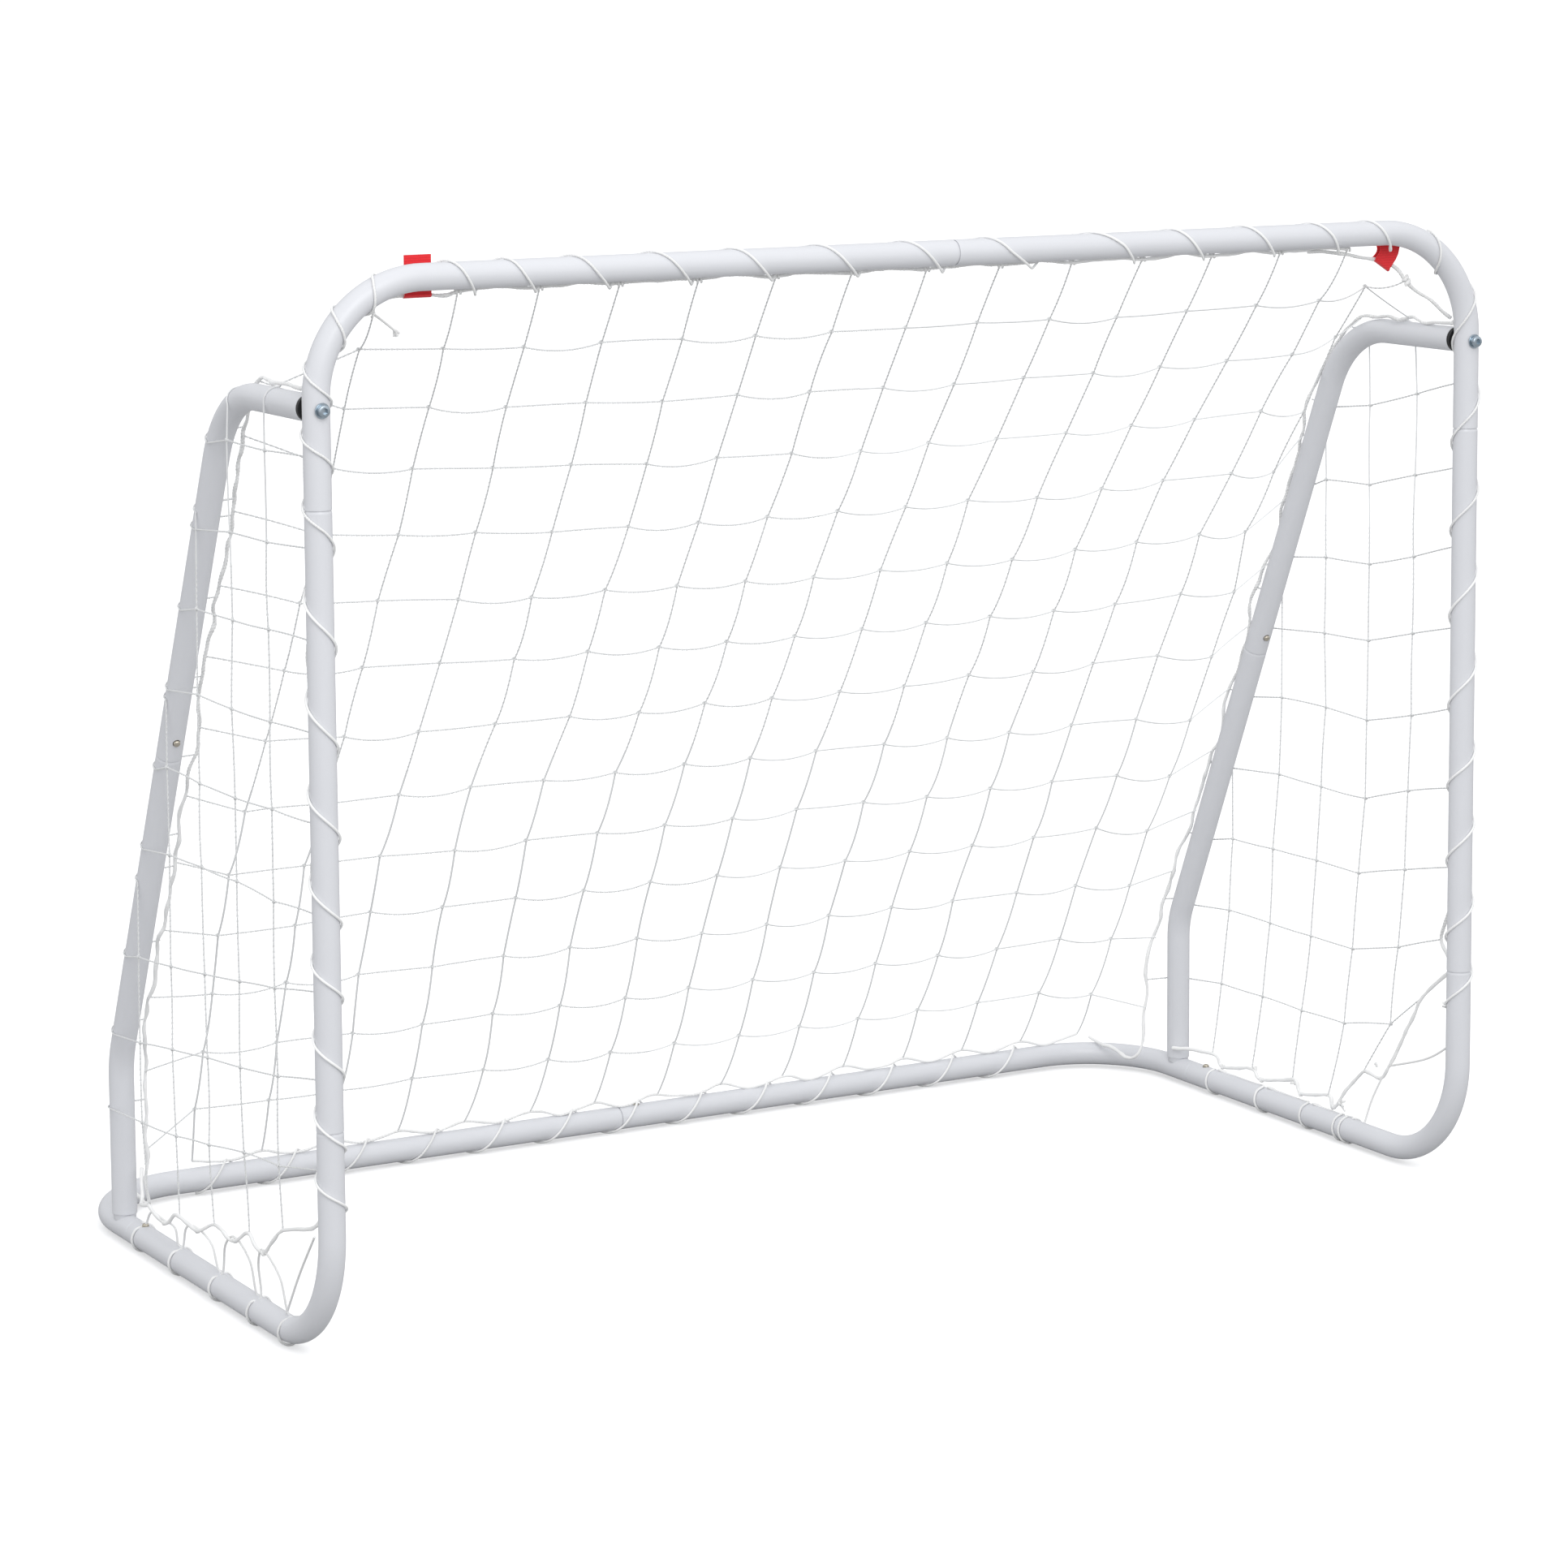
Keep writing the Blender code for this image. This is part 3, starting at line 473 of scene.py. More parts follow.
def skin_tube(shell, corners, radii, start, end):
    """The outer skin of a tube. Each end is a "neck", a "socket" or "plain"."""
    corners = [Vector(corner) for corner in corners]
    direction = (corners[1] - corners[0]).normalized()
    here = corners[0].copy()
    if start == "neck":
        here -= direction * NECK_LENGTH
        ring = open_ring(shell, here, direction, NECK_R)
        ring = carried_on(shell, ring, direction * NECK_LENGTH)
        ring = carried_on(shell, ring, direction * SHOULDER)
        here += direction * (NECK_LENGTH + SHOULDER)
        resized(shell, ring, here, TUBE_R / NECK_R)
    else:
        here += direction * (GAP if start == "socket" else 0.0)
        ring = open_ring(shell, here, direction, TUBE_R)
    ring = carried_on(shell, ring, direction * END_BAND)
    here += direction * END_BAND
    for corner, after, radius in zip(corners[1:], corners[2:], radii):
        ahead = (after - corner).normalized()
        turn = direction.angle(ahead)
        tangent = radius * tan(turn / 2)
        bend_start = corner - direction * tangent
        ring = carried_on(shell, ring, bend_start - here)
        axis = direction.cross(ahead).normalized()
        ring = turned(shell, ring, bend_start + axis.cross(direction) * radius, axis, turn)
        here, direction = corner + ahead * tangent, ahead
    stop = corners[-1] - direction * {"neck": SHOULDER, "socket": GAP, "plain": 0.0}[end]
    ring = carried_on(shell, ring, stop - direction * END_BAND - here)
    ring = carried_on(shell, ring, direction * END_BAND)
    if end == "neck":
        ring = carried_on(shell, ring, direction * SHOULDER)
        resized(shell, ring, corners[-1], NECK_R / TUBE_R)
        carried_on(shell, ring, direction * NECK_LENGTH)


def add_rod(name, start, end, radius, sides=24):
    """A solid rod used to cut a hole."""
    rod = bmesh.new()
    shape = {"segments": sides, "radius1": radius, "radius2": radius, "depth": (end - start).length}
    place = facing_place((start + end) / 2, end - start)
    bmesh.ops.create_cone(rod, cap_ends=True, matrix=place, **shape)
    return object_from(name, rod)


def cut(piece, tool):
    step = piece.modifiers.new(tool.name, "BOOLEAN")
    step.operation, step.solver, step.object = "DIFFERENCE", "EXACT", tool


def face_outwards(shell, faces, centre):
    """Turns the faces of one open skin away from the point inside its first ring."""
    bmesh.ops.recalc_face_normals(shell, faces=faces)
    nearest = min(faces, key=lambda face: (face.calc_center_median() - centre).length)
    if nearest.normal.dot(nearest.calc_center_median() - centre) < 0:
        bmesh.ops.reverse_faces(shell, faces=faces)


def strut_corners(x):
    front = Vector((x, STRUT_FRONT_Y, STRUT_TOP_Z))
    knee = Vector((x, STRUT_KNEE_Y, STRUT_TOP_Z))
    ankle = Vector((x, STRUT_FOOT_Y, STRUT_ANKLE_Z))
    foot = Vector((x, STRUT_FOOT_Y, STRUT_FOOT_Z))
    seam = knee.lerp(ankle, (STRUT_TOP_Z - STRUT_SEAM_Z) / (STRUT_TOP_Z - STRUT_ANKLE_Z))
    return front, knee, seam, ankle, foot


def snap_joints():
    """(label, button's centre on the tube axis, way it faces, tubes it goes through)."""
    found = []
    for side, sign in SIDES:
        x = sign * HALF_WIDTH
        front, knee, seam, ankle, foot = strut_corners(x)
        up_slope = (knee - ankle).normalized()
        facing = X_AXIS.cross(up_slope)
        facing = facing if facing.y < 0 else -facing
        upper = Vector((x, POST_Y, UPPER_SEAM_Z + BUTTON_SET_BACK))
        lower = Vector((x, POST_Y, LOWER_SEAM_Z + BUTTON_SET_BACK))
        along_side = Vector((x, SIDE_SEAM_Y - BUTTON_SET_BACK, BASE_Z))
        tubes = [f"{name}_{side}" for name in ("crossbar_tube", "post_tube", "foot_tube")]
        rear, struts = f"rear_corner_tube_{side}", [f"strut_tube_{p}_{side}" for p in ("upper", "lower")]
        found += [
            (f"post_upper_{side}", upper, Y_AXIS, tubes[:2]),
            (f"post_lower_{side}", lower, Y_AXIS, tubes[1:]),
            (f"side_{side}", along_side, Z_AXIS, [tubes[2], rear]),
            (f"strut_{side}", seam + up_slope * BUTTON_SET_BACK, facing, struts),
        ]
    crossbar = Vector((CROSSBAR_SEAM_X + BUTTON_SET_BACK, POST_Y, CROSSBAR_Z))
    rear = Vector((REAR_SEAM_X + BUTTON_SET_BACK, REAR_Y, BASE_Z))
    found.append(("crossbar", crossbar, Y_AXIS, ["crossbar_tube_left", "crossbar_tube_right"]))
    found.append(("rear", rear, Z_AXIS, ["rear_corner_tube_left", "rear_corner_tube_right"]))
    return found


def tube_runs():
    """(name, corners, bend radii, start, end) of the twelve tubes."""
    runs = []
    for side, sign in SIDES:
        x = sign * HALF_WIDTH
        half = "neck" if side == "left" else "socket"
        upper, lower = (x, POST_Y, UPPER_SEAM_Z), (x, POST_Y, LOWER_SEAM_Z)
        side_seam = (x, SIDE_SEAM_Y, BASE_Z)
        middle, top = (CROSSBAR_SEAM_X, POST_Y, CROSSBAR_Z), (x, POST_Y, CROSSBAR_Z)
        heel, corner = (x, POST_Y, BASE_Z), (x, REAR_Y, BASE_Z)
        rear_middle = (REAR_SEAM_X, REAR_Y, BASE_Z)
        front, knee, seam, ankle, foot = strut_corners(x)
        runs += [
            (f"crossbar_tube_{side}", [middle, top, upper], [TOP_BEND_R], half, "socket"),
            (f"post_tube_{side}", [upper, lower], [], "neck", "socket"),
            (f"foot_tube_{side}", [lower, heel, side_seam], [FOOT_BEND_R], "neck", "socket"),
            (f"rear_corner_tube_{side}", [side_seam, corner, rear_middle], [REAR_BEND_R], "neck", half),
            (f"strut_tube_upper_{side}", [front, knee, seam], [STRUT_UPPER_BEND_R], "plain", "socket"),
            (f"strut_tube_lower_{side}", [seam, ankle, foot], [STRUT_LOWER_BEND_R], "neck", "plain"),
        ]
    return runs


def drill_holes():
    """The rods (start, end, radius) that drill each tube, by the tube's name."""
    drills = {}
    for _, centre, facing, tubes in snap_joints():
        inner, outer = facing * (NECK_R - DRILL_IN), facing * (TUBE_R + DRILL_OUT)
        rod = (centre + inner, centre + outer, BUTTON_HOLE_R)
        for name in tubes:
            drills.setdefault(name, []).append(rod)
    for side, sign in SIDES:
        pivot = Vector((sign * HALF_WIDTH, POST_Y, STRUT_TOP_Z))
        through = Y_AXIS * (TUBE_R + DRILL_OUT)
        drills.setdefault(f"crossbar_tube_{side}", []).append((pivot - through, pivot + through, BOLT_HOLE_R))
    return drills


def add_stub(shell, x):
    """The upright stub on a rear corner tube, which the strut's foot stands over."""
    skin = shell.faces[:]
    foot = Vector((x, STRUT_FOOT_Y, BASE_Z + 0.6 * TUBE_R))
    ring = open_ring(shell, foot, Z_AXIS, NECK_R)
    carried_on(shell, ring, Z_AXIS * (STUB_TOP_Z - foot.z))
    stub = [face for face in shell.faces if face not in skin]
    face_outwards(shell, stub, foot + Z_AXIS * 0.02)


def add_tubes():
    drills = drill_holes()
    for name, corners, radii, start, end in tube_runs():
        shell = bmesh.new()
        skin_tube(shell, corners, radii, start, end)
        face_outwards(shell, shell.faces[:], Vector(corners[0]).lerp(Vector(corners[1]), 0.02))
        if name.startswith("rear_corner"):
            add_stub(shell, corners[0][0])
        piece = object_from(f"white_{name}", shell, is_open=True)
        wall = piece.modifiers.new("wall", "SOLIDIFY")
        wall.thickness, wall.offset, wall.use_even_offset = WALL, -1.0, True
        rim = piece.modifiers.new("coated edges", "BEVEL")
        rim.width, rim.segments, rim.limit_method = 0.0003, 2, "ANGLE"
        rim.angle_limit = radians(50)
        rods = [add_rod(f"drill_{at}", *rod) for at, rod in enumerate(drills.get(name, []))]
        for rod in rods:
            cut(piece, rod)
        settle(piece, rods)
        hand_over(piece, "powder_coat", name)


# ---- Turned fittings ----
def spun(name, profile, place, steps=32):
    """Turns (radius, height) points about local Z. A profile off the axis closes on itself."""
    piece = bmesh.new()
    verts = [piece.verts.new((radius, 0, height)) for radius, height in profile]
    pairs = list(zip(verts, verts[1:])) + ([(verts[-1], verts[0])] if profile[0][0] > 0 else [])
    geom = verts + [piece.edges.new(pair) for pair in pairs]
    full = {"cent": ORIGIN, "axis": Z_AXIS, "angle": 2 * pi, "use_merge": True}
    bmesh.ops.spin(piece, geom=geom, steps=steps, **full)
    bmesh.ops.transform(piece, matrix=place, verts=piece.verts[:])
    return object_from(name, piece)


def add_snap_buttons():
    """Domed nickel pins, each on its own sliding body."""
    radius = bpy.context.scene.goal_sizes.dome
    top, flange_top = TUBE_R + 0.0035, NECK_R - WALL - 0.0013
    flange = [(0, flange_top - 0.0008), (0.0049, flange_top - 0.0008), (0.0049, flange_top)]
    dome = []
    for angle in (radians(step) for step in (0, 12, 25, 38, 51, 64, 77)):
        dome.append((radius * cos(angle), top - 0.0024 * (1 - sin(angle))))
    profile = flange + [(radius, flange_top)] + dome + [(0, top)]
    for label, centre, facing, _ in snap_joints():
        piece = spun(f"nickel_button_{label}", profile, facing_place(centre, facing))
        hand_over(piece, "nickel_steel", f"snap_button_{label}", f"snap_button_{label}")


WASHER_THICK = 0.0016
BOLT_HEAD = 0.006
PLUG_LENGTH = 0.026


def add_pivots():
    """Socket head bolt, washer and black end plug at the front of each strut."""
    back = -TUBE_R - GAP  # the washer's back face
    front = back - WASHER_THICK
    ring = [(BOLT_HOLE_R, back), (0.0081, back), (0.0085, back - 0.0004)]
    ring += [(0.0085, front + 0.0003), (0.0082, front), (BOLT_HOLE_R, front)]
    seat = front - GAP
    tip = seat - BOLT_HEAD
    bolt = [(0, tip), (0.0052, tip), (0.0060, tip + 0.0003), (0.0065, tip + 0.0010), (0.0065, seat)]
    bolt += [(0.004, seat), (0.004, 0.0492), (0.0034, 0.050), (0, 0.050)]
    face, flange_back = TUBE_R + GAP, STRUT_FRONT_Y - POST_Y - GAP
    plug_back = face + PLUG_LENGTH
    nut_seat = plug_back - 0.0075
    plug = [(BOLT_HOLE_R, face), (0.0142, face), (0.0146, face + 0.0004), (0.0146, flange_back)]
    plug += [(NECK_R, flange_back), (NECK_R, plug_back), (0.0078, plug_back), (0.0078, nut_seat)]
    plug += [(BOLT_HOLE_R, nut_seat)]
    for side, sign in SIDES:
        pivot = Vector((sign * HALF_WIDTH, POST_Y, STRUT_TOP_Z))
        place = facing_place(pivot, Y_AXIS)
        head = spun(f"socket_bolt_{side}", bolt, place)
        head_face = pivot + Y_AXIS * tip
        hexagon = add_rod("hex_key", head_face - Y_AXIS * 0.002, head_face + Y_AXIS * 0.0036, 0.0037, 6)
        cut(head, hexagon)
        settle(head, [hexagon])
        hand_over(head, "zinc_steel", f"pivot_bolt_{side}")
        hand_over(spun(f"bolt_ring_{side}", ring, place), "zinc_steel", f"bolt_washer_{side}")
        hand_over(spun(f"black_plug_{side}", plug, place, 48), "black_plastic", f"strut_end_plug_{side}")


# ---- Cords ----
GROOVE = 0.24  # depth of the grooves between a cord's strands, as a part of its radius


def lobed_profile(name, radius, strands, sides):
    """The cross section of a laid cord, as a flat closed curve."""
    data = bpy.data.curves.new(name, "CURVE")
    data.dimensions = "2D"
    section = data.splines.new("POLY")
    section.points.add(sides - 1)
    for at in range(sides):
        angle = 2 * pi * at / sides
        lobe = abs(cos(strands * angle / 2))
        reach = radius * (1 - GROOVE + GROOVE * lobe)
        section.points[at].co = (reach * cos(angle), reach * sin(angle), 0, 1)
    section.use_cyclic_u = True
    return link_piece(name, data)


def twisted_cords(name, runs, diameter, step, lay, strands=3, sides=9, lumps=0.0):
    """One mesh of laid cords along the runs, each a list of points. lay is one full twist."""
    section = lobed_profile(f"{name}_section", diameter / 2, strands, sides)
    data = bpy.data.curves.new(name, "CURVE")
    data.dimensions, data.bevel_mode, data.bevel_object = "3D", "OBJECT", section
    data.use_fill_caps, data.twist_mode = True, "MINIMUM"
    for number, run in enumerate(runs):
        points = resampled([Vector(point) for point in run], step)
        if len(points) < 3:
            points = resampled(points, (points[-1] - points[0]).length / 3)
        spline = data.splines.new("POLY")
        spline.points.add(len(points) - 1)
        for at, point in enumerate(points):
            swell = 1 + lumps * noise.noise(point * 70 + Vector((number, 0, 0)))
            spline.points[at].co = (*point, 1)
            spline.points[at].radius = swell
            spline.points[at].tilt = at * step * 2 * pi / lay
    curve = link_piece(f"{name}_curve", data)
    flat = evaluated_mesh(curve)
    for helper in (curve, section):
        bpy.data.objects.remove(helper)
    cleaned = bmesh.new()
    cleaned.from_mesh(flat)
    piece = object_from(name, cleaned, 60)
    bpy.data.meshes.remove(flat)
    return piece


def lay_cord(name, runs, diameter, replaced):
    """Laces with smooth laid cord."""
    hand_over(twisted_cords(name, runs, diameter, 0.0012, 0.0095), "lacing_cord", replaced)


def lay_rope(name, runs, diameter, lumps, replaced):
    """Lays thicker rope, its strands uneven."""
    piece = twisted_cords(name, runs, diameter, 0.0016, 0.013, lumps=lumps)
    hand_over(piece, "lacing_cord", replaced)


def cord_reach(cord):
    """From a tube's axis to the middle of a cord that lies on it."""
    return TUBE_R + cord / 2 + 0.0002


def wandering(points, reach, wavelength, seed):
    """The points pushed about by smooth noise, their ends left where they are."""
    moved, passed = [], 0.0
    for at, point in enumerate(points):
        passed += (point - points[at - 1]).length if at else 0.0
        ease = min(1.0, at / 4, (len(points) - 1 - at) / 4)
        push = noise.noise_vector(Vector((passed / wavelength, seed * 7.3, 0.0)))
        moved.append(point + push * (reach * ease))
    return moved


def frayed_end(tip, direction, length, seed):
    """The few short fibres that splay from a cut cord."""
    dice = Random(seed)
    fibres = []
    for _ in range(5):
        splay = Vector([dice.uniform(-1, 1) for _ in range(3)]) * 0.55
        away = (direction.normalized() + splay).normalized()
        droop = Vector((0, 0, -0.3 * length))
        fibres.append([tip, tip + away * length * 0.5, tip + away * length + droop])
    return fibres


def round_tube(line, crossings, first, last, across, hand, radius, loose=ORIGIN):
    """Cord round a tube. It passes the side that across points to at each of the crossings.

    line is the tube's axis, and first and last are how far along it the cord starts and ends.
    The cord stands off the tube by up to loose, on the side loose points to.
    """
    turns = [crossings[0] - (crossings[1] - crossings[0])] + list(crossings)
    turns.append(crossings[-1] + (crossings[-1] - crossings[-2]))
    points = []
    count = ceil((last - first) / 0.0025)
    for at in range(count + 1):
        distance = first + (last - first) * at / count
        leg = 0
        while leg < len(turns) - 2 and turns[leg + 1] < distance:
            leg += 1
        part = (distance - turns[leg]) / (turns[leg + 1] - turns[leg])
        angle = hand * 2 * pi * (leg + part)
        centre, direction = line.at(distance)
        way = across * cos(angle) + direction.cross(across) * sin(angle)
        hanging = loose.length * max(0.0, way.dot(loose.normalized())) ** 8
        points.append(centre + way * (radius + hanging))
    return points


# ---- Net ----
def strut_line(x):
    front, knee, _, ankle, foot = strut_corners(x)
    return Line(rounded_path([front, knee, ankle, foot], [STRUT_UPPER_BEND_R, STRUT_LOWER_BEND_R]))


STRUT_LINES = {side: strut_line(sign * HALF_WIDTH) for side, sign in SIDES}
COLUMNS, ROWS = 15, 14
SEAM_INSET = {"left": 0.037, "right": 0.009}  # how far the ropes run inside the struts' axes
SEAM_BEHIND = TUBE_R + 0.0045
TOP_PITCH = 0.098
BOTTOM_FIRST, BOTTOM_PITCH = -0.614, 0.0932
SEAM_FIRST, SEAM_PITCH = -0.012, 0.0955
ROPE_KNOT = Vector((0.684, POST_Y + 0.021, CROSSBAR_Z - 0.060))  # the right corner is tied here


def behind_strut(side, distance):
    """(strut's axis point, way out behind it) this far along the strut."""
    point, direction = STRUT_LINES[side].at(distance)
    return point, X_AXIS.cross(direction).normalized()


def seam_point(side, sign, distance):
    """Where the seam rope runs: on top of the level run, then behind and inside the slope."""
    distance = max(0.0, min(distance, STRUT_LINES[side].length))
    point, outward = behind_strut(side, distance)
    part = min(1.0, max(0.0, (distance - 0.10) / 0.16))
    inset = 0.006 + (SEAM_INSET[side] - 0.006) * part * part * (3 - 2 * part)
    wave = noise.noise(Vector((distance * 17, 3.1 * sign, 0.5)))
    drift = noise.noise(Vector((distance * 6, 9.7 * sign, 2.5)))
    inset += part * (0.006 * wave + 0.012 * drift)
    if side == "right":
        inset += 0.036 * min(1.0, max(0.0, (distance - 1.02) / 0.16))
    return point + outward * (SEAM_BEHIND + 0.004 * wave * part) - X_AXIS * (sign * inset)


def column_x(column):
    return (column - (COLUMNS - 1) / 2) * TOP_PITCH


def net_edges():
    """Fixed edge points of the back net: top row, bottom row, and both seams by row."""
    tops = []
    for column in range(COLUMNS):
        x = column_x(column)
        z = CROSSBAR_Z - TUBE_R - 0.003
        over = abs(x) - (HALF_WIDTH - TOP_BEND_R)
        if over > 0:
            z = CROSSBAR_Z - TOP_BEND_R + sqrt((TOP_BEND_R - TUBE_R) ** 2 - over**2) - 0.004
        tops.append(Vector((x, POST_Y + 0.010, z)))
    tops[-1] = ROPE_KNOT.copy()
    foot_y, foot_z = REAR_Y - 0.004, BASE_Z + TUBE_R + 0.0105
    bottoms = [Vector((BOTTOM_FIRST + BOTTOM_PITCH * column, foot_y, foot_z)) for column in range(COLUMNS)]
    seams = {
        side: [seam_point(side, sign, SEAM_FIRST + SEAM_PITCH * row) for row in range(ROWS + 1)]
        for side, sign in SIDES
    }
    return tops, bottoms, seams


# Rows 1 to 13 of the back net's knots: (depth behind the posts, height in the middle, how far
# the knots have drifted right of their strings' tops at the left, and the same at the right)
HUNG_ROWS = (
    (0.078, 1.096, 0.014, 0.010), (0.150, 1.020, 0.027, 0.022), (0.218, 0.942, 0.041, 0.022),
    (0.278, 0.860, 0.048, 0.018), (0.330, 0.778, 0.047, 0.012), (0.376, 0.699, 0.045, 0.012),
    (0.422, 0.616, 0.040, 0.010), (0.473, 0.533, 0.034, 0.008), (0.519, 0.451, 0.031, 0.008),
    (0.567, 0.370, 0.036, 0.010), (0.618, 0.287, 0.045, 0.013), (0.662, 0.204, 0.051, 0.012),
    (0.706, 0.122, 0.057, 0.010),
)


def hung_net():
    """Knots of the back net with its top, bottom and seams, row by row."""
    tops, bottoms, seams = net_edges()
    dice = Random(11)
    knots = [[seams["left"][0]] + tops + [seams["right"][0]]]
    for row, (depth, height, left_drift, right_drift) in enumerate(HUNG_ROWS, 1):
        line = []
        for column in range(COLUMNS):
            along = min(1.0, max(0.0, (column - 4) / 8))
            x = column_x(column) + left_drift + (right_drift - left_drift) * along
            knot = Vector((x, POST_Y + depth, height))
            near_edge = abs(column * 2 / (COLUMNS - 1) - 1) ** 3
            knot.z += 0.020 * near_edge * sin(pi * min(1.0, row / 8))
            if column == COLUMNS - 1:
                knot.x -= 0.030 if row < 6 else 0.014
                knot.z += 0.012 if row < 3 else -0.010
            line.append(knot + Vector([dice.gauss(0, 0.0012) for _ in range(3)]))
        knots.append([seams["left"][row]] + line + [seams["right"][row]])
    knots.append([seams["left"][ROWS]] + bottoms + [seams["right"][ROWS]])
    return knots


MOST_SAG = 0.006


def slack_string(start, end, rest, seed):
    """A string between two knots, hanging a little if it is longer than the way between them."""
    span = (end - start).length
    sag = min(MOST_SAG, sqrt(0.375 * span * max(0.0, rest - span)))
    kink = noise.noise_vector(Vector((seed * 1.37, 4.1, 0.3))) * 0.0022
    points = []
    for at in range(1, 12):
        part = at / 12
        hump = 4 * part * (1 - part)
        points.append(start.lerp(end, part) - Z_AXIS * (sag * hump) + kink * hump)
    return points


def joined(knots, rest, seed, end_rest=None):
    """One string through the knots. end_rest is the length of its first and last leg."""
    run = [knots[0]]
    for at, (a, b) in enumerate(zip(knots, knots[1:])):
        is_end = end_rest is not None and at in (0, len(knots) - 2)
        run += slack_string(a, b, end_rest if is_end else rest, seed * 41 + at) + [b]
    return run


def knot_loop(centre, along, across, radius):
    """The short turn of twine that makes a knot."""
    along = along.normalized()
    normal = along.cross(across).normalized()
    across = normal.cross(along)
    points = []
    for at in range(10):
        angle = 2 * pi * at / 6
        ring = across * cos(angle) + normal * (sin(angle) * 0.85) + along * ((at / 9 - 0.5) * 2.6)
        points.append(centre + ring * radius)
    return points


def twine_piece(name, strings, knots, replaced):
    """Joins strings and knots into one twine mesh."""
    twine = bpy.context.scene.goal_sizes.twine
    net = twisted_cords(name, strings, twine, 0.0021, 0.0126, strands=2, sides=4)
    loops = twisted_cords(f"{name}_knots", knots, twine * 0.95, 0.0015, 0.02, strands=2, sides=4)
    joint = bmesh.new()
    joint.from_mesh(net.data)
    joint.from_mesh(loops.data)
    bpy.data.objects.remove(loops)
    joint.to_mesh(net.data)
    joint.free()
    net.data.shade_smooth()
    hand_over(net, "net_twine", replaced)


def add_back_net():
    mesh = bpy.context.scene.goal_sizes.mesh
    radius = bpy.context.scene.goal_sizes.twine
    knots = hung_net()
    strings, loops = [], []
    for column in range(1, COLUMNS + 1):
        strings.append(joined([knots[row][column] for row in range(ROWS + 1)], mesh, column))
    for row in range(1, ROWS):
        strings.append(joined(knots[row], mesh, 50 + row, 0.0))
        for column in range(1, COLUMNS + 1):
            here = knots[row][column]
            along = knots[row][column + 1] - knots[row][column - 1]
            across = knots[row + 1][column] - knots[row - 1][column]
            loops.append(knot_loop(here, along + across * 0.6, across, radius * 0.72))
    twine_piece("back_net", strings, loops, "net_back")


# (depth behind the post axes, height above the floor) along each side net's hem rope
HEMS = {
    "left": (
        (0.004, 0.160), (0.101, 0.138), (0.160, 0.098), (0.198, 0.111), (0.240, 0.093), (0.300, 0.097),
        (0.352, 0.077), (0.404, 0.082), (0.453, 0.062), (0.502, 0.072), (0.550, 0.062), (0.596, 0.090),
    ),
    "right": (
        (0.022, 0.290), (0.049, 0.252), (0.088, 0.219), (0.137, 0.146), (0.171, 0.098), (0.213, 0.094),
        (0.275, 0.036), (0.287, 0.049), (0.348, 0.037), (0.366, 0.052), (0.436, 0.037), (0.457, 0.049),
        (0.526, 0.036), (0.541, 0.051), (0.600, 0.050),
    ),
}
HEM_PEAKS = {"left": (1, 3, 5, 7, 9), "right": (5, 7, 9, 11, 13)}
HEM_TROUGHS = {"left": (2, 4, 6, 8), "right": (6, 8, 10, 12)}
SIDE_ROW_PITCH = 0.0985
NET_X = HALF_WIDTH + 0.0172


def hem_points(side, sign):
    found = []
    for depth, height in HEMS[side]:
        ease = min(1.0, max(0.0, (depth - 0.02) / 0.10))
        tucked = min(1.0, max(0.0, (depth - 0.53) / 0.06))
        x = sign * (NET_X - 0.004 * ease - 0.030 * tucked)
        found.append(Vector((x, POST_Y + depth, height)))
    return found


def side_knot(side, sign, column, row):
    """Knot of a side net. Column 0 is on the post, row 0 is the lowest."""
    if side == "left":
        depth = 0.101 * column
        height = 0.224 + SIDE_ROW_PITCH * row - 0.11 * depth
        if row > 2:
            height += 0.11 * depth - 0.012
    else:
        height = 0.149 + SIDE_ROW_PITCH * 1.02 * row + (0.045, 0.021, 0, 0, 0, 0)[column]
        lean = 0.058 * max(0.0, (0.56 - height) / 0.51) ** 1.5
        depth = 0.030 + 0.0925 * column + lean if column else 0.0
    shake = noise.noise_vector(Vector((column * 3.7, row * 5.1, 11.0 * sign))) * 0.006
    depth = depth if column else 0.014
    x = sign * (NET_X if column else HALF_WIDTH + 0.006)
    y = POST_Y + depth + (shake.y if column else 0.004)
    return Vector((x + 0.3 * shake.x, y, height + shake.z))


def past_strut(side, sign, distance):
    """Twine from outside a strut, round the back of it, to the seam rope."""
    point, outward = behind_strut(side, distance)
    reach = TUBE_R + 0.0012
    points = []
    for angle in (radians(step) for step in range(-10, 116, 14)):
        points.append(point + (X_AXIS * (sign * cos(angle)) + outward * sin(angle)) * reach)
    return points + [seam_point(side, sign, distance)]


